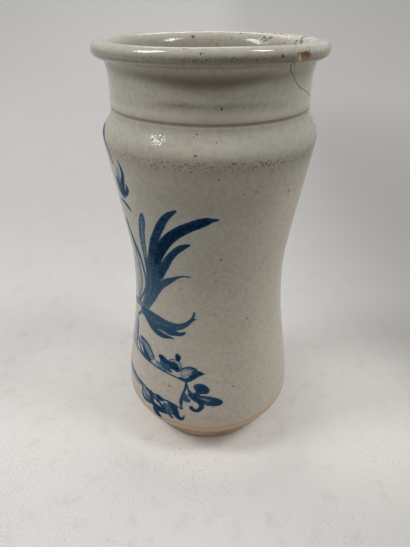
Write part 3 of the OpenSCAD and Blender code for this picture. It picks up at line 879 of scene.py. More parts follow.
    def near(self, place: Point, reach: float, core: float, shake: Any = 0.0) -> bpy.types.NodeSocket:
        """Adds a soft round spot about a point.

        Args:
            place: Middle of the spot in metres.
            reach: Distance at which it ends.
            core: Distance within which it is full.
            shake: Added to the distance, to make the spot ragged.

        Returns:
            1 in the core and 0 past the reach.
        """
        way = self.node("ShaderNodeVectorMath", {0: self.object, 1: place}, operation="DISTANCE")
        return self.ease(self.plus(way.outputs["Value"], shake), reach, core)

    def seen(self) -> bpy.types.NodeSocket:
        """1 where a ray from the camera, a reflection or a glass looks, and 0 where light spreads."""
        rays = self.node("ShaderNodeLightPath").outputs
        mirrored = self.most(rays["Is Glossy Ray"], rays["Is Transmission Ray"])
        return self.most(rays["Is Camera Ray"], mirrored)

    def axis(self, name: str) -> bpy.types.NodeSocket:
        """Adds one coordinate of a point, in metres: Z is its height above the foot."""
        return self.node("ShaderNodeSeparateXYZ", {0: self.object}).outputs[name]

    def band(self, rise: Any, middle: float, half: float) -> bpy.types.NodeSocket:
        """Adds a soft band of heights: 1 at its middle, 0 at half its breadth away."""
        return self.ease(self.math("ABSOLUTE", self.minus(rise, middle)), half, 0.0)

    def mark(self, name: str) -> bpy.types.NodeSocket:
        """Adds a value that the mesh keeps at its points."""
        return self.node("ShaderNodeAttribute", attribute_name=name).outputs["Fac"]

    def bump(
        self, height: Any, distance: float, strength: Any = 1.0, under: Any = None
    ) -> bpy.types.NodeSocket:
        """Adds a bump from a height pattern, over another bump if one is given.

        Args:
            height: Pattern of heights, from 0 to 1.
            distance: Height in metres that 1 stands for.
            strength: Strength of the bump.
            under: Normal that the bump is added to.

        Returns:
            The bumped normal.
        """
        inputs: dict[Any, Any] = {"Height": height, "Distance": distance, "Strength": strength}
        if under is not None:
            inputs["Normal"] = under
        return self.node("ShaderNodeBump", inputs).outputs[0]

    def finish(self, inputs: dict[str, Any]) -> bpy.types.Material:
        """Ends the tree with a principled shader.

        Args:
            inputs: Values or sockets of the shader by name.

        Returns:
            The material.
        """
        shader = self.node("ShaderNodeBsdfPrincipled", inputs)
        self.node("ShaderNodeOutputMaterial", {"Surface": shader.outputs[0]})
        return self.material


@dataclass(frozen=True)
class Ring:
    """A soft ring round the jar: its height and half breadth in metres, and its depth of colour."""

    middle: float
    half: float
    share: float

    def lay(self, recipe: Recipe, rise: Any) -> bpy.types.NodeSocket:
        """Adds the share of the ring's colour at a height to a node tree."""
        return recipe.times(recipe.band(rise, self.middle, self.half), self.share)


@dataclass(frozen=True)
class Spot:
    """A spot in the glaze: its angle in degrees, the rest in millimetres, and its depth of colour."""

    turn: float
    radius: float
    rise: float
    size: float
    share: float

    @property
    def place(self) -> Point:
        """Middle of the spot in metres."""
        turn = math.radians(self.turn)
        return (MM * self.radius * math.cos(turn), MM * self.radius * math.sin(turn), MM * self.rise)

    def lay(self, recipe: Recipe, shake: Any = 0.0) -> bpy.types.NodeSocket:
        """Adds the round of the spot to a node tree, full within two fifths of its size."""
        size = MM * self.size
        return recipe.near(self.place, size, 0.4 * size, shake)


WALL_SPOTS = (
    Spot(7.4, 55.5, 172.8, 0.9, 0.95),
    Spot(14.4, 53.2, 132.8, 0.9, 0.6),
    Spot(28.2, 53.7, 123.6, 1.5, 0.4),
    Spot(17.2, 60.8, 70.8, 0.8, 0.9),
    Spot(46.6, 60.4, 209.2, 1.8, 0.45),
    Spot(23.2, 61.1, 214.4, 0.7, 0.7),
    Spot(-6.2, 62.9, 234.8, 0.8, 0.85),
    Spot(-7.2, 58.3, 242.4, 0.6, 0.7),
    Spot(14.4, 53.0, 147.6, 0.9, 0.5),
)
RIM_SPOTS = (
    Spot(5.6, 56.9, 254.8, 0.75, 0.9),
    Spot(29.2, 64.2, 276.5, 1.1, 0.95),
    Spot(37.0, 64.0, 277.2, 0.9, 0.75),
    Spot(-3.6, 63.7, 278.0, 0.8, 0.9),
    Spot(-167.9, 54.0, 277.0, 1.7, 0.95),
    Spot(159.6, 56.5, 278.8, 1.2, 0.7),
    Spot(145.7, 53.0, 274.2, 1.3, 0.9),
    Spot(145.7, 58.5, 279.6, 1.2, 0.7),
    Spot(141.4, 54.0, 277.7, 1.7, 0.9),
    Spot(138.8, 53.6, 276.2, 1.2, 0.9),
    Spot(136.6, 54.0, 277.9, 1.7, 0.9),
    Spot(136.2, 58.5, 279.4, 1.5, 0.8),
    Spot(130.9, 58.5, 279.6, 1.3, 0.8),
    Spot(112.0, 54.0, 277.1, 1.4, 0.9),
    Spot(106.0, 54.2, 277.4, 1.9, 0.95),
)


@dataclass(frozen=True)
class TinGlaze:
    """Grey-white tin glaze with clouds, pinholes and iron specks, and the cobalt painted on it.

    After the colours come the gloss and the roughness of each place, what the shining spot takes off
    the roughness, the share of painted shade at its darkest, how far in millimetres and how strongly
    the cobalt bleeds, the rings of the wall, the heights in metres between which the lower edge thins
    and then browns, the single specks, and the shining spot on the shoulder. Shade and light are
    painted into the colours: the upper glaze is partly darkened as painted shade, the pale colour is
    painted light on the right of the wall, at the ends of the lip and in a band on the neck, the
    rust brown is also painted shade in the groove and on the upper wall, and the brown of the rim is
    painted shade under the lip and inside the mouth.
    """

    place: Place
    # The upper colour is darker partly as painted shade where the wall faces down; the lower one is also
    # the pinker glaze.
    upper: Colour = (0.50, 0.487, 0.41)
    lower: Colour = (0.58, 0.52, 0.44)
    cloud: Colour = (0.53, 0.47, 0.39)
    # Pale colour used as painted light: the lit right of the wall, the lit ends of the lip and a band on
    # the neck.
    pale: Colour = (0.64, 0.59, 0.50)
    speck: Colour = (0.07, 0.045, 0.03)
    # Iron brown of the shoulder haze and the groove, also used as painted shade in the groove and on the
    # upper wall.
    rust_and_shade: Colour = (0.16, 0.085, 0.05)
    thin: Colour = (0.73, 0.535, 0.365)
    bare: Colour = (0.38, 0.25, 0.15)
    # Brown of the painted shade under the lip, round the neck and inside the mouth, tinted like thin
    # glaze; it also tints the speckled bands.
    brown_shade: Colour = (0.14, 0.094, 0.04)
    edge: Colour = (0.16, 0.10, 0.06)
    flake: Colour = (0.27, 0.155, 0.075)
    bleed: Colour = (0.40, 0.45, 0.46)
    wash: Colour = (0.14, 0.215, 0.29)
    slate: Colour = (0.045, 0.098, 0.162)
    deep: Colour = (0.013, 0.05, 0.104)
    navy: Colour = (0.003, 0.02, 0.055)
    gloss: float = 0.35
    rim_gloss: float = 0.75
    ink_gloss: float = 0.02
    # Gloss where the shade under the lip is painted.
    shade_gloss: float = 0.3
    wall_dull: float = 0.3
    rim_dull: float = 0.11
    flake_dull: float = 0.85
    worn_dull: float = 0.2
    polish: float = 0.2
    # Share of the painted shade under the lip at its darkest.
    shade_depth: float = 0.88
    bleed_reach: float = 3.0
    bleed_share: float = 0.4
    shoulder_dots: Ring = Ring(0.2296, 0.0046, 0.95)
    loose_dots: Ring = Ring(0.2270, 0.0105, 0.8)
    shoulder_haze: Ring = Ring(0.2272, 0.0090, 0.2)
    # Painted shadow in the groove, over the brown line the glaze has there.
    groove_shadow_line: Ring = Ring(0.2473, 0.0016, 0.62)
    # Painted highlight: a pale band along the neck above the groove.
    neck_highlight: Ring = Ring(0.2512, 0.0026, 0.5)
    # Painted shade on the front of the upper wall, which faces down.
    upper_wall_shade: Ring = Ring(0.2090, 0.0230, 0.16)
    thin_line: Ring = Ring(0.0343, 0.0008, 0.4)
    thin_rise: tuple[float, float] = (0.0415, 0.0330)
    end_rise: tuple[float, float] = (0.0285, 0.0268)
    spots: tuple[Spot, ...] = ()
    shine: Spot = Spot(-24.8, 59.7, 240.4, 5.4, 0.7)

    @property
    def dull(self) -> float:
        """How rough the glaze is: the rim is the smoothest part."""
        return self.rim_dull if self.place is Place.RIM else self.wall_dull

    def make(self) -> bpy.types.Material:
        """Builds the material.

        Returns:
            The material for this place on the jar.
        """
        recipe = Recipe(f"tin_glaze_{self.place.value}")
        rise, aside = recipe.axis("Z"), recipe.axis("Y")
        clouds = recipe.noise(24.0, 3.0)
        # Lighter towards the foot: partly the pinker lower glaze, partly painted shade on the upper wall.
        tone = recipe.blend(recipe.ease(rise, 0.227, 0.062), self.upper, self.lower)
        tone = recipe.blend(recipe.ease(clouds, 0.45, 0.75, 0.0, 0.55), tone, self.cloud)
        # Painted light: the right side of the wall below the shoulder is paler, as if lit.
        if self.place is Place.OUTSIDE:
            right = recipe.times(recipe.ease(aside, 0.012, 0.045), recipe.ease(rise, 0.226, 0.2))
            tone = recipe.blend(right, tone, self.pale)
        # Painted light: both ends of the lip are paler, as if lit from the sides.
        if self.place is Place.RIM:
            left = recipe.ease(aside, -0.055, -0.063)
            ends = recipe.most(recipe.ease(aside, 0.03, 0.056, 0.0, 0.8), left)
            tone = recipe.blend(ends, tone, self.pale)
        mottle = recipe.ease(recipe.noise(330.0), 0.35, 0.75, 0.0, 0.26)
        tone = recipe.blend(mottle, tone, self.cloud, "MULTIPLY")
        pits = recipe.specks(210.0, 0.00065, 0.8)
        specks = recipe.specks(75.0, 0.0011, 0.5)
        tone = recipe.tint(tone, pits, 0.75, self.speck)
        tone = recipe.tint(tone, specks, 0.85, self.speck)
        ragged = recipe.drift(1100.0, 1.0, 0.0016)
        for spot in self.spots:
            tone = recipe.tint(tone, spot.lay(recipe, ragged), spot.share, self.speck)
        rough: Any = recipe.ease(clouds, 0.3, 0.8, self.dull - 0.04, self.dull + 0.06)
        gloss: Any = self.rim_gloss if self.place is Place.RIM else self.gloss
        if self.place is not Place.INSIDE:
            tone = self._iron(recipe, rise, tone)
        if self.place is Place.OUTSIDE:
            tone, thinned = self._thin_edge(recipe, rise, tone)
            tone, gloss = self._cobalt(recipe, tone)
            gloss = recipe.times(gloss, recipe.minus(1.0, thinned))
        if self.place is Place.RIM:
            tone, rough = self._wear(recipe, tone)
            # Less gloss where shade is painted under the lip, which darkens it further.
            gloss = recipe.ease(recipe.mark("brown_shade"), 0.0, 0.7, gloss, self.shade_gloss)
        waves = recipe.bump(recipe.noise(55.0), 0.0011, 0.35)
        peel = recipe.bump(recipe.noise(620.0, 1.0), 0.00012, 0.5, waves)
        dips = recipe.minus(1.0, recipe.most(pits, specks))
        normal = recipe.bump(dips, 0.00012, 0.7, peel)
        if self.place is Place.OUTSIDE:
            shine = self.shine.lay(recipe)
            rough = recipe.minus(rough, recipe.times(shine, self.polish))
            gloss = recipe.plus(gloss, recipe.times(shine, self.shine.share))
            normal = recipe.bump(recipe.noise(560.0, 1.0), 0.0006, shine, normal)
        inputs = {"Base Color": tone, "Roughness": rough, "Normal": normal}
        return recipe.finish({**inputs, "Specular IOR Level": gloss})

    def _wear(self, recipe: Recipe, tone: Any) -> tuple[Any, Any]:
        """Adds the painted shade under the lip, the lip's speckles, the pitted crest and the knock's
        clay.

        Args:
            recipe: Node tree to add to.
            tone: Colour so far.

        Returns:
            The colour with the wear, and the roughness, which grows on the pitted crest and the clay.
        """
        speckled, worn = recipe.mark("speckled"), recipe.mark("worn")
        # Painted shade under the lip, round the neck and inside the mouth.
        tone = recipe.tint(tone, recipe.mark("brown_shade"), self.shade_depth, self.brown_shade)
        # A faint tint of the painted shade's brown over the speckled bands.
        tone = recipe.tint(tone, speckled, 0.38, self.brown_shade)
        grains = recipe.ease(recipe.noise(1500.0), 0.55, 0.63)
        grains = recipe.most(grains, recipe.specks(620.0, 0.0006, 0.6))
        tone = recipe.tint(tone, recipe.times(grains, speckled), 0.75, self.speck)
        dots = recipe.specks(620.0, 0.0008, 0.7)
        tone = recipe.blend(recipe.times(dots, worn), tone, self.speck)
        bare = recipe.plus(recipe.mark("chip"), recipe.times(recipe.noise(700.0, 3.0), 0.6))
        flaked = recipe.ease(bare, 0.35, 0.75)
        clay = recipe.blend(recipe.ease(recipe.noise(500.0, 3.0), 0.35, 0.65), self.flake, self.bare)
        pitted = recipe.ease(worn, 0.5, 0.9, self.dull, self.dull + self.worn_dull)
        return recipe.blend(flaked, tone, clay), recipe.ease(flaked, 0.0, 1.0, pitted, self.flake_dull)

    def _iron(self, recipe: Recipe, rise: Any, tone: Any) -> Any:
        """Adds the iron specks along the shoulder, the brown of the groove with its painted shadow, a
        painted highlight on the neck and painted shade on the front of the upper wall.

        Args:
            recipe: Node tree to add to.
            rise: Height of the point.
            tone: Colour so far.

        Returns:
            The colour with the specks.
        """
        # Painted highlight: a pale band along the neck above the groove.
        tone = recipe.blend(self.neck_highlight.lay(recipe, rise), tone, self.pale)
        level = recipe.plus(rise, recipe.drift(30.0, 2.0, 0.006))
        haze = self.shoulder_haze.lay(recipe, level)
        # The groove's ring is painted shadow over a brown line.
        groove = self.groove_shadow_line.lay(recipe, rise)
        # Painted shade on the front of the upper wall, which faces down.
        front = recipe.ease(recipe.math("ABSOLUTE", recipe.axis("Y")), 0.046, 0.026)
        for share in (haze, groove, recipe.times(self.upper_wall_shade.lay(recipe, rise), front)):
            tone = recipe.blend(share, tone, self.rust_and_shade)
        dots = recipe.most(recipe.specks(600.0, 0.00078, 0.75), recipe.specks(1050.0, 0.0005, 0.9))
        patchy = recipe.ease(recipe.noise(60.0, 3.0), 0.36, 0.58, 0.35, 1.0)
        shoulder = recipe.times(self.shoulder_dots.lay(recipe, level), recipe.times(dots, patchy))
        loose = recipe.times(self.loose_dots.lay(recipe, level), recipe.specks(330.0, 0.0007, 0.3))
        for share in (shoulder, loose):
            tone = recipe.blend(share, tone, self.speck)
        return tone

    def _thin_edge(self, recipe: Recipe, rise: Any, tone: Any) -> tuple[Any, Any]:
        """Thins the glaze to tan along its lower edge, less so on the left, with two brown lines.

        One line runs along the tan and one where the glaze ends.

        Args:
            recipe: Node tree to add to.
            rise: Height of the point.
            tone: Colour so far.

        Returns:
            The colour with the thin edge, and how thin the glaze is.
        """
        level = recipe.plus(rise, recipe.drift(45.0, 3.0, 0.008))
        rightward = recipe.ease(recipe.axis("Y"), -0.058, -0.025, 0.3, 1.0)
        thinned = recipe.times(recipe.ease(level, *self.thin_rise, 0.0, 0.85), rightward)
        tone = recipe.blend(thinned, tone, self.thin)
        tone = recipe.blend(self.thin_line.lay(recipe, level), tone, self.edge)
        return recipe.blend(recipe.ease(rise, *self.end_rise, 0.0, 0.75), tone, self.edge), thinned

    def _cobalt(self, recipe: Recipe, tone: Any) -> tuple[Any, Any]:
        """Paints the cobalt from the depth and load that the mesh keeps.

        The depth is shaken by a fine noise so that the edge bleeds into the glaze, the load is
        clouded, and pigment pools along the edge. A pale blue bleed surrounds the strokes.

        Args:
            recipe: Node tree to add to.
            tone: Colour so far.

        Returns:
            The colour with the painting, and the gloss, which the pigment dulls.
        """
        depth = recipe.plus(recipe.mark("ink_depth"), recipe.drift(600.0, 2.0, 0.7))
        bled = recipe.ease(depth, -self.bleed_reach, 0.0, 0.0, self.bleed_share)
        tone = recipe.blend(bled, tone, self.bleed)
        cover = recipe.ease(depth, -0.35, 0.4)
        cloud = recipe.ease(recipe.noise(520.0, 3.0), 0.28, 0.72, 0.84, 1.12)
        pool = recipe.ease(depth, 1.1, 0.2, 0.0, 0.08)
        load = recipe.plus(recipe.times(recipe.mark("ink_load"), cloud), pool)
        dark: Any = self.wash
        laid = ((0.3, 0.62, self.slate), (0.58, 0.86, self.deep), (0.84, 1.0, self.navy))
        for low, high, colour in laid:
            dark = recipe.blend(recipe.ease(load, low, high), dark, colour)
        share = recipe.times(cover, recipe.ease(load, 0.0, 0.5))
        return recipe.blend(share, tone, dark), recipe.ease(share, 0.0, 1.0, self.gloss, self.ink_gloss)


@dataclass(frozen=True)
class BareClay:
    """Buff earthenware, turned and dry, with the marks of the tool and fine grit."""

    name: str = "bare_clay"
    pale: Colour = (0.68, 0.54, 0.41)
    dark: Colour = (0.46, 0.32, 0.21)
    grit: Colour = (0.16, 0.10, 0.06)
    roughness: float = 0.82
    gloss: float = 0.25

    def make(self) -> bpy.types.Material:
        """Builds the material.

        Returns:
            The material of the bare clay.
        """
        recipe = Recipe(self.name)
        turning = recipe.noise(1.0, 3.0, recipe.stretched((22.0, 22.0, 900.0)))
        clouds = recipe.noise(60.0, 4.0)
        tone = recipe.blend(recipe.ease(clouds, 0.3, 0.75), self.pale, self.dark)
        tone = recipe.blend(recipe.ease(turning, 0.45, 0.75, 0.0, 0.45), tone, self.dark)
        grit = recipe.specks(330.0, 0.0004, 0.3)
        tone = recipe.tint(tone, grit, 0.6, self.grit)
        normal = recipe.bump(turning, 0.0002, 0.7)
        normal = recipe.bump(recipe.noise(900.0, 3.0), 0.0001, 0.6, normal)
        rough = recipe.ease(clouds, 0.2, 0.8, self.roughness - 0.08, self.roughness + 0.1)
        inputs = {"Base Color": tone, "Roughness": rough, "Normal": normal}
        return recipe.finish({**inputs, "Specular IOR Level": self.gloss})


@dataclass(frozen=True)
class OldAdhesive:
    """Brown glue in the mended break, gone dull."""

    pale: Colour = (0.17, 0.135, 0.095)
    dark: Colour = (0.09, 0.07, 0.048)
    roughness: float = 0.6

    def make(self) -> bpy.types.Material:
        """Builds the material.

        Returns:
            The material of the adhesive.
        """
        recipe = Recipe("old_adhesive")
        clouds = recipe.noise(380.0, 3.0)
        tone = recipe.blend(recipe.ease(clouds, 0.35, 0.65), self.dark, self.pale)
        normal = recipe.bump(clouds, 0.0002, 0.6)
        return recipe.finish({"Base Color": tone, "Roughness": self.roughness, "Normal": normal})


@dataclass(frozen=True)
class PaperFloor:
    """Pale paper that the jar stands on, which looks paler than the light that it throws back.

    Before the jar lies a paler disc and beside it are paler places, painted light that lifts the
    jar's shadow, each given with the distances in metres at which it ends and is full. Far behind
    the jar and to its right the paper is painted darker, as painted shade.
    """

    pale: Colour = (0.71, 0.694, 0.673)
    # near: painted light, the paler paper round the foot.
    near: Colour = (0.92, 0.885, 0.84)
    # far: painted shade, darker paper towards the back.
    far: Colour = (0.555, 0.548, 0.534)
    # right: painted shade, darker paper to the right of the jar.
    right: Colour = (0.335, 0.325, 0.31)
    stain: Colour = (0.42, 0.36, 0.30)
    bounce: Colour = (0.27, 0.252, 0.23)
    roughness: float = 0.9
    gloss: float = 0.2
    disc: tuple[float, float] = (0.098, 0.056)
    lit: tuple[tuple[Point, float], ...] = (((0.015, 0.14, 0.0), 0.6), ((0.005, -0.13, 0.0), 0.4))
    lit_reach: tuple[float, float] = (0.125, 0.02)

    def make(self) -> bpy.types.Material:
        """Builds the material.

        Returns:
            The material of the floor.
        """
        recipe = Recipe("pale_paper")
        x, y = recipe.axis("X"), recipe.axis("Y")
        # Painted shade: darker towards the back.
        tone = recipe.blend(recipe.ease(x, 0.12, -0.45), self.pale, self.far)
        # Painted shade: darker to the right of the jar, fading far back.
        beside = recipe.ease(x, -1.6, -0.3, 0.35, 0.9)
        tone = recipe.blend(recipe.times(recipe.ease(y, -0.02, 0.34), beside), tone, self.right)
        # Painted light: a paler disc before the foot and paler places beside it, over the jar's shadow.
        before = recipe.times(recipe.near((0.0, 0.0, 0.0), *self.disc), recipe.ease(x, -0.03, 0.05))
        tone = recipe.blend(before, tone, self.near)
        for place, share in self.lit:
            tone = recipe.tint(tone, recipe.near(place, *self.lit_reach), share, self.near)
        stained = recipe.ease(recipe.noise(75.0, 6.0), 0.52, 0.76, 0.0, 0.18)
        tone = recipe.blend(stained, tone, self.stain)
        patchy = recipe.ease(recipe.noise(18.0), 0.4, 0.62, 0.3, 1.0)
        grain = recipe.ease(recipe.noise(800.0), 0.5, 0.72, 0.0, 0.4)
        dust = recipe.times(recipe.specks(150.0, 0.0009, 0.22), 0.55)
        for share in (grain, dust):
            tone = recipe.blend(recipe.times(share, patchy), tone, self.stain)
        normal = recipe.bump(recipe.noise(700.0), 0.0002, 0.15)
        tone = recipe.blend(recipe.seen(), self.bounce, tone)
        inputs = {"Base Color": tone, "Roughness": self.roughness, "Normal": normal}
        return recipe.finish({**inputs, "Specular IOR Level": self.gloss})


@dataclass
class GlazeCoat:
    """The glaze over the jar: the painted wall, the rim, the sherd and the inside.

    Attributes:
        form: Profile of the jar.
        breakage: Break of the rim.
        ornament: Painting on the wall.
        z_join: Height at which the wall and the rim meet.
        fine_turn: Degrees between the wall's columns over the ornament.
        coarse_turn: Degrees between its other columns.
        row_step: Height between the wall's rows.
        ripple: Size of the thrower's ridges.
        ridge_pitch: Height between two ridges.
        swell_pitch: Height between two slow swells.
        ridge_fade: Height below the neck over which the ridges fade out.
        edge_fade: Height over which the waves of the lower edge die away.
        edge_drop: How far below the edge the rows lie that round it off.
        edge_inset: How far inside the edge they lie.
        rim_columns: Points along each row of the rim.
        sherd_columns: Points along each row of the sherd.
        tuck: How far the ends of the rim lie inside the coats that they meet.
        wobble: Size of the sway of the lip.
        sherd_drop: How low the sherd sits at its far end.
        inside_turn: Degrees between the columns inside.
        inside_ripple: Size of the rings inside.
        inside_pitch: Height between two of those rings.
        shaded_inside_upper: Colour of the glaze high inside, darkened as painted shade.
        shaded_inside_lower: Colour of the glaze low inside, darkened as painted shade.
        wear: Angle, half breadth in degrees and share of each pitted stretch of the lip.
        streaks: The same for the speckled stretches of the neck.
    """

    form: JarForm
    breakage: RimBreak
    ornament: Ornament
    z_join: float = 250.4
    fine_turn: float = 0.7
    coarse_turn: float = 2.6
    row_step: float = 0.84
    ripple: float = 0.07
    ridge_pitch: float = 11.0
    swell_pitch: float = 47.0
    ridge_fade: float = 12.0
    edge_fade: float = 5.0
    edge_drop: tuple[float, ...] = (0.35, 0.2, 0.05)
    edge_inset: tuple[float, ...] = (0.55, 0.3, 0.1)
    rim_columns: int = 260
    sherd_columns: int = 76
    tuck: float = 0.05
    wobble: float = 0.22
    sherd_drop: float = 0.4
    inside_turn: float = 2.5
    inside_ripple: float = 0.15
    inside_pitch: float = 9.0
    # The inside's colours are darker than the outside's as painted shade.
    shaded_inside_upper: Colour = (0.38, 0.36, 0.29)
    shaded_inside_lower: Colour = (0.42, 0.38, 0.31)
    wear: tuple[Bell, ...] = (
        (136.0, 10.0, 1.0), (104.0, 9.0, 0.9), (62.0, 16.0, 0.4), (43.0, 8.0, 0.5), (126.0, 20.0, 0.6),
    )
    streaks: tuple[Bell, ...] = ((-14.0, 9.0, 0.95), (12.0, 16.0, 0.4))

    def build(self) -> list[bpy.types.Object]:
        """Makes and dresses the four coats of glaze.

        Returns:
            The pieces.
        """
        wall = self.wall_surface().make("glaze_wall")
        rim = self.rim_surface(Side.BODY).make("glaze_rim", weld=True)
        sherd = self.rim_surface(Side.SHERD).make("glaze_sherd", weld=True)
        inside = self.inside_surface().make("glaze_inside")
        outer = TinGlaze(Place.OUTSIDE, spots=WALL_SPOTS).make()
        lip = TinGlaze(Place.RIM, spots=RIM_SPOTS).make()
        inner = TinGlaze(Place.INSIDE, upper=self.shaded_inside_upper, lower=self.shaded_inside_lower).make()
        for piece, finish, slot, nodes in (
            (wall, outer, "outer_glaze", ("outer_glaze", "cobalt_painting")),
            (rim, lip, "outer_glaze", ("outer_glaze",)),
            (sherd, lip, "sherd_glaze", ("sherd_glaze",)),
            (inside, inner, "inner_glaze", ("inner_glaze",)),
        ):
            piece.data.materials.append(finish)
            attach(piece, "root")
            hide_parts(*nodes)
        return [wall, rim, sherd, inside]

    def wall_surface(self) -> Surface:
        """The painted wall, from the wavy lower edge of the glaze to just above the groove.

        The profile is turned round the axis with closer columns over the ornament. The thrower's
        ridges are a sine of the height whose phase drifts with the angle, the edge is a sum of
        sines of the angle that dies away upwards, and a few rows below it round the edge off.

        Returns:
            The surface, with the depth and load of the painting.
        """
        form, reach = self.form, self.ornament.reach
        fine = np.arange(-reach, reach, self.fine_turn)
        coarse = np.arange(reach, 360.0 - reach, self.coarse_turn)
        angle = self.ornament.middle_turn + np.concatenate([fine, coarse])
        z_low = form.z_groove - form.groove_half - 0.4
        body = np.arange(form.glaze_edge, z_low, self.row_step)
        rows = np.concatenate([body, np.linspace(z_low, self.z_join, 12)])
        a, z = np.meshgrid(angle, rows)
        wave = 0.5 * np.sin(np.radians(3.0 * a + 20.0)) + 0.3 * np.sin(np.radians(8.0 * a + 75.0))
        z = z + wave * np.exp((form.glaze_edge - z) / self.edge_fade)
        radius = form.outer_radius(z) + self.ridges(a, z)
        depth, load = self.ornament.paint(a.ravel(), z.ravel())
        edge_z = z[:1] - np.array(self.edge_drop)[:, None]
        edge_r = radius[:1] - np.array(self.edge_inset)[:, None]
        edge_a = np.repeat(a[:1], len(self.edge_drop), axis=0)
        points = turned(np.vstack([edge_r, radius]), np.vstack([edge_z, z]), np.vstack([edge_a, a]))
        skirt = np.zeros(edge_a.shape)
        marks = {
            "ink_depth": np.vstack([skirt - self.ornament.near, depth.reshape(a.shape)]),
            "ink_load": np.vstack([skirt, load.reshape(a.shape)]),
        }
        return Surface(points, wrap=True, marks=marks)

    def ridges(self, a: np.ndarray, z: np.ndarray) -> np.ndarray:
        """Heights of the thrower's ridges, which fade out at the groove.

        Args:
            a: Angles in degrees.
            z: Heights.

        Returns:
            What the ridges add to the radius.
        """
        phase = 2.0 * np.pi * z / self.ridge_pitch + np.radians(a)
        slow = np.sin(2.0 * np.pi * z / self.swell_pitch + 2.0 * np.sin(np.radians(2.0 * a + 40.0)))
        fade = smoothstep(z, self.form.z_neck, self.form.z_neck - self.ridge_fade)
        return self.ripple * fade * (0.55 * np.sin(phase) + 0.7 * slow)

    def rim_surface(self, side: Side) -> Surface:
        """The neck and lip, or the sherd in them, from outside over the crest to the inside.

        Each row of the profile runs between the two edges of the break, round the long way for the
        body and the short way for the sherd, with a strip at each end that turns in by the glaze's
        thickness. The lip sways by a slow sine of the angle, and the sherd sits low at its far end.

        Args:
            side: Whether the body's rim or the sherd is wanted.

        Returns:
            The surface, with the depth of each point in the knock and the stains.
        """
        form = self.form
        line = form.rim_line(self.z_join - 0.4, self.z_join - 1.4)
        normal = outward(line)
        left, right = self.breakage.edges(form, line, side)
        crest = int(line[:, 1].argmax())
        if side is Side.SHERD:
            kept = right - left > 1e-6
            kept[np.flatnonzero(kept)[0] - 1] = True
            kept[np.flatnonzero(kept)[-1] + 1] = True
            line, normal, left, right = line[kept], normal[kept], left[kept], right[kept]
            crest -= int(np.flatnonzero(kept)[0])
            first, sweep, share = left, right - left, np.linspace(0.0, 1.0, self.sherd_columns)
        else:
            first, sweep, share = right, 360.0 - (right - left), np.linspace(0.0, 1.0, self.rim_columns)
            line[[0, -1]] -= self.tuck * normal[[0, -1]]
        angle = first[:, None] + sweep[:, None] * share
        opened = np.minimum((right - left)[:, None] / 2.0, 1.0) * form.glaze
        radius = np.repeat(line[:, :1], len(share), axis=1)
        rise = np.repeat(line[:, 1:], len(share), axis=1)
        turn_in_r = line[:, :1] - opened * normal[:, :1]
        turn_in_z = line[:, 1:] - opened * normal[:, 1:]
        angle = np.hstack([angle[:, :1], angle, angle[:, -1:]])
        radius = np.hstack([turn_in_r, radius, turn_in_r])
        rise = np.hstack([turn_in_z, rise, turn_in_z])
        high = smoothstep(rise, self.z_join + 6.0, form.height)
        sway = np.sin(np.radians(2.0 * angle + 50.0)) + 0.5 * np.sin(np.radians(5.0 * angle))
        rise = rise + self.wobble * high * sway
        if side is Side.SHERD:
            past = smoothstep(angle, self.breakage.turn - 10.0, self.breakage.turn + 40.0)
            rise = rise - self.sherd_drop * past * high
        points, inside = self.breakage.knock(form, turned(radius, rise, angle))
        return Surface(points, wrap=False, marks={"chip": inside, **self.stains(angle, rise, crest)})

    def stains(self, angle: np.ndarray, rise: np.ndarray, crest: int) -> dict[str, np.ndarray]:
        """Where the rim is pitted and speckled, and where shade is painted on it, each a share from 0 to
        1.

        The pits are bells of the angle beside the break and past it, on the lip alone. The speckles
            are bells of the height, on the lower half of the lip's outside and in two stretches of the
            neck. The painted shade is a bell of the height and the angle in the hollow under the lip, a
            fainter one round the neck, a thin one along the lip's lower edge, a share of the lip's lower
            half, and an even share inside the mouth; it is tinted brown like thin glaze.

        Args:
            angle: Angles in degrees.
            rise: Heights.
            crest: Number of the row at the crest, past which the inside starts.

        Returns:
            The shares by the name of the mark.
        """
        form = self.form
        turn = (angle + 180.0) % 360.0 - 180.0
        worn = np.clip(bells(turn, self.wear), 0.0, 1.0)
        worn = worn * smoothstep(rise, form.height - 9.0, form.height - 4.0)
        outside = (np.arange(len(rise)) < crest)[:, None]
        uneven = 0.7 + 0.3 * np.sin(np.radians(3.0 * turn + 60.0))
        on_lip = bell(rise, form.z_lip + 3.4, 1.7) * uneven
        on_neck = bell(rise, form.z_neck + 10.0, 1.2) * bells(turn, self.streaks)
        # Painted shade: in the hollow under the lip, fainter round the front of the neck, along the lip's
        # lower crease and on the lip's lower half.
        front = bell(turn, -2.0, 24.0)
        hollow = bell(rise, form.z_sweep + 5.6 - 2.0 * front, 2.2 + 1.7 * front) * bell(turn, -2.0, 40.0)
        crease = 0.55 * bell(rise, form.z_lip + 2.1, 0.6)
        ring = 0.3 * bell(rise, form.z_neck + 9.4, 1.7) * bell(turn, -4.0, 32.0)
        shaded = np.maximum.reduce([hollow, ring, crease, 0.55 * on_lip])
        # Painted shade inside the mouth.
        mouth = 0.4 * smoothstep(rise, form.height - 0.5, form.height - 5.0)
        return {
            "worn": worn,
            "speckled": outside * (on_lip + on_neck),
            "brown_shade": np.where(outside, shaded, mouth),
        }

    def inside_surface(self) -> Surface:
        """The inside, its profile turned round the axis down to the middle of the floor.

        Returns:
            The surface, closed at the floor's middle.
        """
        line = self.form.inside_line(self.z_join - 1.0)
        angle = np.arange(0.0, 360.0, self.inside_turn)
        a, z = np.meshgrid(angle, line[:-1, 1])
        radius = np.repeat(line[:-1, :1], len(angle), axis=1)
        rings = self.inside_ripple * np.sin(2.0 * np.pi * z / self.inside_pitch + np.radians(a))
        radius = radius + rings * smoothstep(z, 12.0, 30.0) * smoothstep(z, 248.0, 237.0)
        return Surface(turned(radius, z, a), wrap=True, pole=(0.0, 0.0, float(line[-1, 1])))


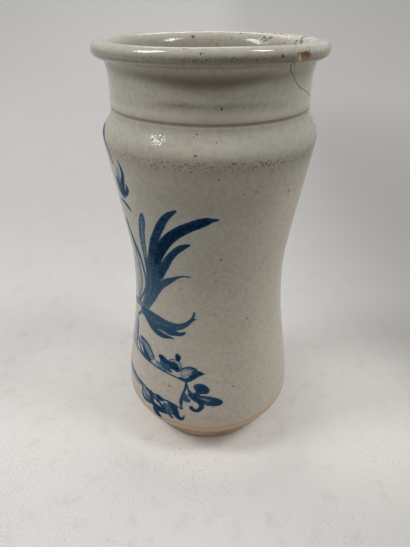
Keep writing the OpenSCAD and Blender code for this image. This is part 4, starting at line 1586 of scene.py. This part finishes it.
@dataclass
class ClayParts:
    """The bare clay: a turned skin over the heel, and the finishes of the solids that stay.

    Attributes:
        form: Profile of the jar.
        skin: How far the heel's skin stands proud of the solid.
        bottom: Height at which the skin starts.
        top: Height at which it ends, under the glaze.
        rows: Rows of the skin.
        turn_step: Degrees between its columns.
        lines: Depth of the turning lines.
        pitch: Height between two of them.
        foot_line: The shallow line above the foot.
        tuck: How far the ends of the skin lie inside the solid.
        broken_pale: Paler colour of the sherd's clay.
        broken_dark: Darker colour of the sherd's clay.
    """

    form: JarForm
    skin: float = 0.12
    bottom: float = 0.45
    top: float = 29.0
    rows: int = 150
    turn_step: float = 1.5
    lines: float = 0.05
    pitch: float = 1.7
    foot_line: Bell = (6.5, 0.5, 0.1)
    tuck: float = 0.05
    broken_pale: Colour = (0.20, 0.125, 0.07)
    broken_dark: Colour = (0.11, 0.065, 0.035)

    def build(self, nodes: dict[str, bpy.types.Object]) -> list[bpy.types.Object]:
        """Makes the heel's skin and dresses the solids.

        Args:
            nodes: The solids by name.

        Returns:
            The new pieces.
        """
        clay = BareClay().make()
        heel = self.heel_surface().make("clay_heel")
        heel.data.materials.append(clay)
        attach(heel, "root")
        broken = BareClay("broken_clay", self.broken_pale, self.broken_dark).make()
        glue = OldAdhesive().make()
        for name, finish in (("clay_body", clay), ("rim_sherd", broken), ("mend_seam", glue)):
            mesh = nodes[name].data
            mesh.materials.clear()
            mesh.materials.append(finish)
        return [heel]

    def heel_surface(self) -> Surface:
        """The heel as the turning tool left it, a little proud of the solid.

        The wall's profile is moved in by the glaze's thickness less the skin, with fine turning
        lines as a sine of the height and a shallow line above the foot, and its ends turn in.

        Returns:
            The surface.
        """
        z = np.linspace(self.bottom, self.top, self.rows)
        line = np.column_stack([self.form.wall_radius(z), z])
        normal = outward(line)
        turning = self.lines * np.sin(2.0 * np.pi * z / self.pitch) - bells(z, (self.foot_line,))
        moved = self.form.glaze - self.skin - turning
        moved[[0, -1]] = self.form.glaze + self.tuck
        line = line - moved[:, None] * normal
        angle = np.arange(0.0, 360.0, self.turn_step)
        a, rise = np.meshgrid(angle, line[:, 1])
        radius = np.repeat(line[:, :1], len(angle), axis=1)
        return Surface(turned(radius, rise, a), wrap=True)


@dataclass(frozen=True)
class Lamp:
    """A soft lamp that looks at a point.

    Attributes:
        name: Name of the lamp.
        place: Where it stands, in metres.
        size: Its breadth and length, in metres.
        power: Power in watts.
        target: Point that it looks at.
    """

    name: str
    place: Point
    size: tuple[float, float]
    power: float
    target: Point = (0.0, 0.0, 0.14)

    def make(self) -> bpy.types.Object:
        """Makes the lamp.

        Returns:
            The lamp's object.
        """
        data = bpy.data.lights.new(self.name, "AREA")
        data.shape = "RECTANGLE"
        data.size, data.size_y = self.size
        data.energy = self.power
        lamp = bpy.data.objects.new(self.name, data)
        lamp.matrix_world = looking(np.array(self.place), np.subtract(self.target, self.place), 0.0)
        bpy.context.scene.collection.objects.link(lamp)
        return lamp


def looking(place: np.ndarray, ahead: np.ndarray, roll: float) -> Matrix:
    """Places a lamp or camera so that its -Z looks ahead and its +Y leans up.

    Args:
        place: Where it stands.
        ahead: Direction in which it looks.
        roll: Degrees by which the picture turns clockwise.

    Returns:
        Its matrix.
    """
    forward = ahead / np.linalg.norm(ahead)
    right = np.cross(forward, (0.0, 0.0, 1.0))
    right /= np.linalg.norm(right)
    up = np.cross(right, forward)
    turn = math.radians(roll)
    across = math.cos(turn) * right + math.sin(turn) * up
    upright = math.cos(turn) * up - math.sin(turn) * right
    matrix = np.eye(4)
    matrix[:3, :4] = np.column_stack([across, upright, -forward, place])
    return Matrix(matrix.tolist())


@dataclass
class Studio:
    """Paper floor, lamps, surrounding light and the camera of the photograph.

    Attributes:
        focal_pixels: Focal length of the camera in pixels of the photograph.
        eye: Where the camera stands, in metres.
        pitch: Degrees by which it looks down.
        yaw: Degrees by which it looks aside.
        roll: Degrees by which its picture turns clockwise.
        sensor: Breadth of its sensor in millimetres.
        clip: Distance in metres from which it sees.
        floor_radius: Radius of the paper in metres.
        floor_level: Radius within which the paper is level.
        floor_lift: Height of the paper's edge.
        floor_drop: How far the paper lies below the foot, so that the two don't flicker.
        room_back: Light of the wall behind the jar.
        room_left: Light of the wall on the left.
        room_right: Light of the wall on the right.
        room_top: Light of the ceiling.
        room_seen: Light of the room where it is seen or mirrored.
        room_full: Share of the way round to a side at which its light is full.
        lamps: The soft lamps.
    """

    focal_pixels: float = 411.0
    eye: Point = (0.25585, 0.0, 0.29561)
    pitch: float = 33.37
    yaw: float = -0.582
    roll: float = 0.14
    sensor: float = 36.0
    clip: float = 0.01
    floor_radius: float = 4.5
    floor_level: float = 2.0
    floor_lift: float = 0.9
    floor_drop: float = 0.0002
    room_back: float = 0.63
    room_left: float = 1.25
    room_right: float = 1.12
    room_top: float = 0.11
    room_seen: float = 0.72
    room_full: float = 0.9
    lamps: tuple[Lamp, ...] = (
        Lamp("lamp_left", (0.26, -1.4, 1.95), (0.5, 0.9), 16.0),
        Lamp("lamp_right", (0.33, 1.18, 2.1), (0.4, 0.65), 11.5),
        Lamp("lamp_paper", (-2.4, -0.2, 2.4), (1.4, 1.4), 22.0, target=(-3.4, 0.0, 0.2)),
    )

    def build(self) -> None:
        """Makes the floor, the lamps, the surrounding light and the camera."""
        floor = self.floor_surface().make("paper_floor")
        floor.data.materials.append(PaperFloor().make())
        for lamp in self.lamps:
            lamp.make()
        bpy.context.scene.world = self.room()
        bpy.context.scene.view_settings.view_transform = "Standard"
        self.camera()

    def room(self) -> bpy.types.World:
        """Light of a white room, each side of which fades out towards its neighbours.

        What is seen of the room, straight or mirrored, is one pale grey.

        Returns:
            The world.
        """
        world = bpy.data.worlds.new("soft_room")
        world.use_nodes = True
        recipe = Recipe("room_light", world.node_tree)
        way = recipe.node("ShaderNodeSeparateXYZ", {0: recipe.place.outputs["Generated"]})
        strength: Any = 0.0
        for axis, side, level in (
            ("X", -1.0, self.room_back),
            ("Y", -1.0, self.room_left),
            ("Y", 1.0, self.room_right),
            ("Z", 1.0, self.room_top),
        ):
            end = side * self.room_full
            strength = recipe.plus(strength, recipe.ease(way.outputs[axis], 0.0, end, 0.0, level))
        seen = recipe.seen()
        strength = recipe.times(strength, recipe.minus(1.0, seen))
        strength = recipe.plus(strength, recipe.times(seen, self.room_seen))
        light = recipe.node("ShaderNodeBackground", {"Strength": strength})
        recipe.node("ShaderNodeOutputWorld", {"Surface": light.outputs[0]})
        return world

    def floor_surface(self) -> Surface:
        """Paper floor: level near the jar, and rising as a square of the way out past that.

        Returns:
            The surface, closed under the jar.
        """
        out = self.floor_radius * np.linspace(1.0, 0.0, 41)[:-1]
        angle = np.arange(0.0, 360.0, 7.5)
        a, r = np.meshgrid(angle, out)
        past = (r - self.floor_level) / (self.floor_radius - self.floor_level)
        rise = self.floor_lift * np.clip(past, 0.0, None) ** 2 - self.floor_drop
        return Surface(turned(r / MM, rise / MM, a), wrap=True, pole=(0.0, 0.0, -self.floor_drop / MM))

    def camera(self) -> None:
        """Sets the camera where the photograph was taken."""
        data = bpy.data.cameras.new("photo_camera")
        data.sensor_fit = "AUTO"
        data.sensor_width = self.sensor
        data.lens = self.sensor * self.focal_pixels / max(IMAGE_WIDTH, IMAGE_HEIGHT)
        data.clip_start = self.clip
        down, aside = math.radians(self.pitch), math.radians(self.yaw)
        level = math.cos(down)
        ahead = np.array([-level * math.cos(aside), level * math.sin(aside), -math.sin(down)])
        camera = bpy.data.objects.new("photo_camera", data)
        camera.matrix_world = looking(np.array(self.eye), ahead, self.roll)
        bpy.context.scene.collection.objects.link(camera)
        bpy.context.scene.camera = camera


def report(pieces: list[bpy.types.Object]) -> None:
    """Logs the size of each new piece.

    Args:
        pieces: The new pieces.
    """
    for piece in pieces:
        mesh = piece.data
        corners = sum(len(face.vertices) - 2 for face in mesh.polygons)
        LOG.info("%s: %d points, %d triangles", piece.name, len(mesh.vertices), corners)


def main() -> None:
    """Builds the jar's coats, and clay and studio."""
    logging.basicConfig(level=logging.INFO, format="%(message)s")
    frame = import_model()
    form = JarForm()
    pieces = GlazeCoat(form, RimBreak(), Ornament()).build()
    pieces += ClayParts(form).build(frame["nodes"])
    Studio().build()
    report(pieces)


if __name__ == "__main__":
    main()
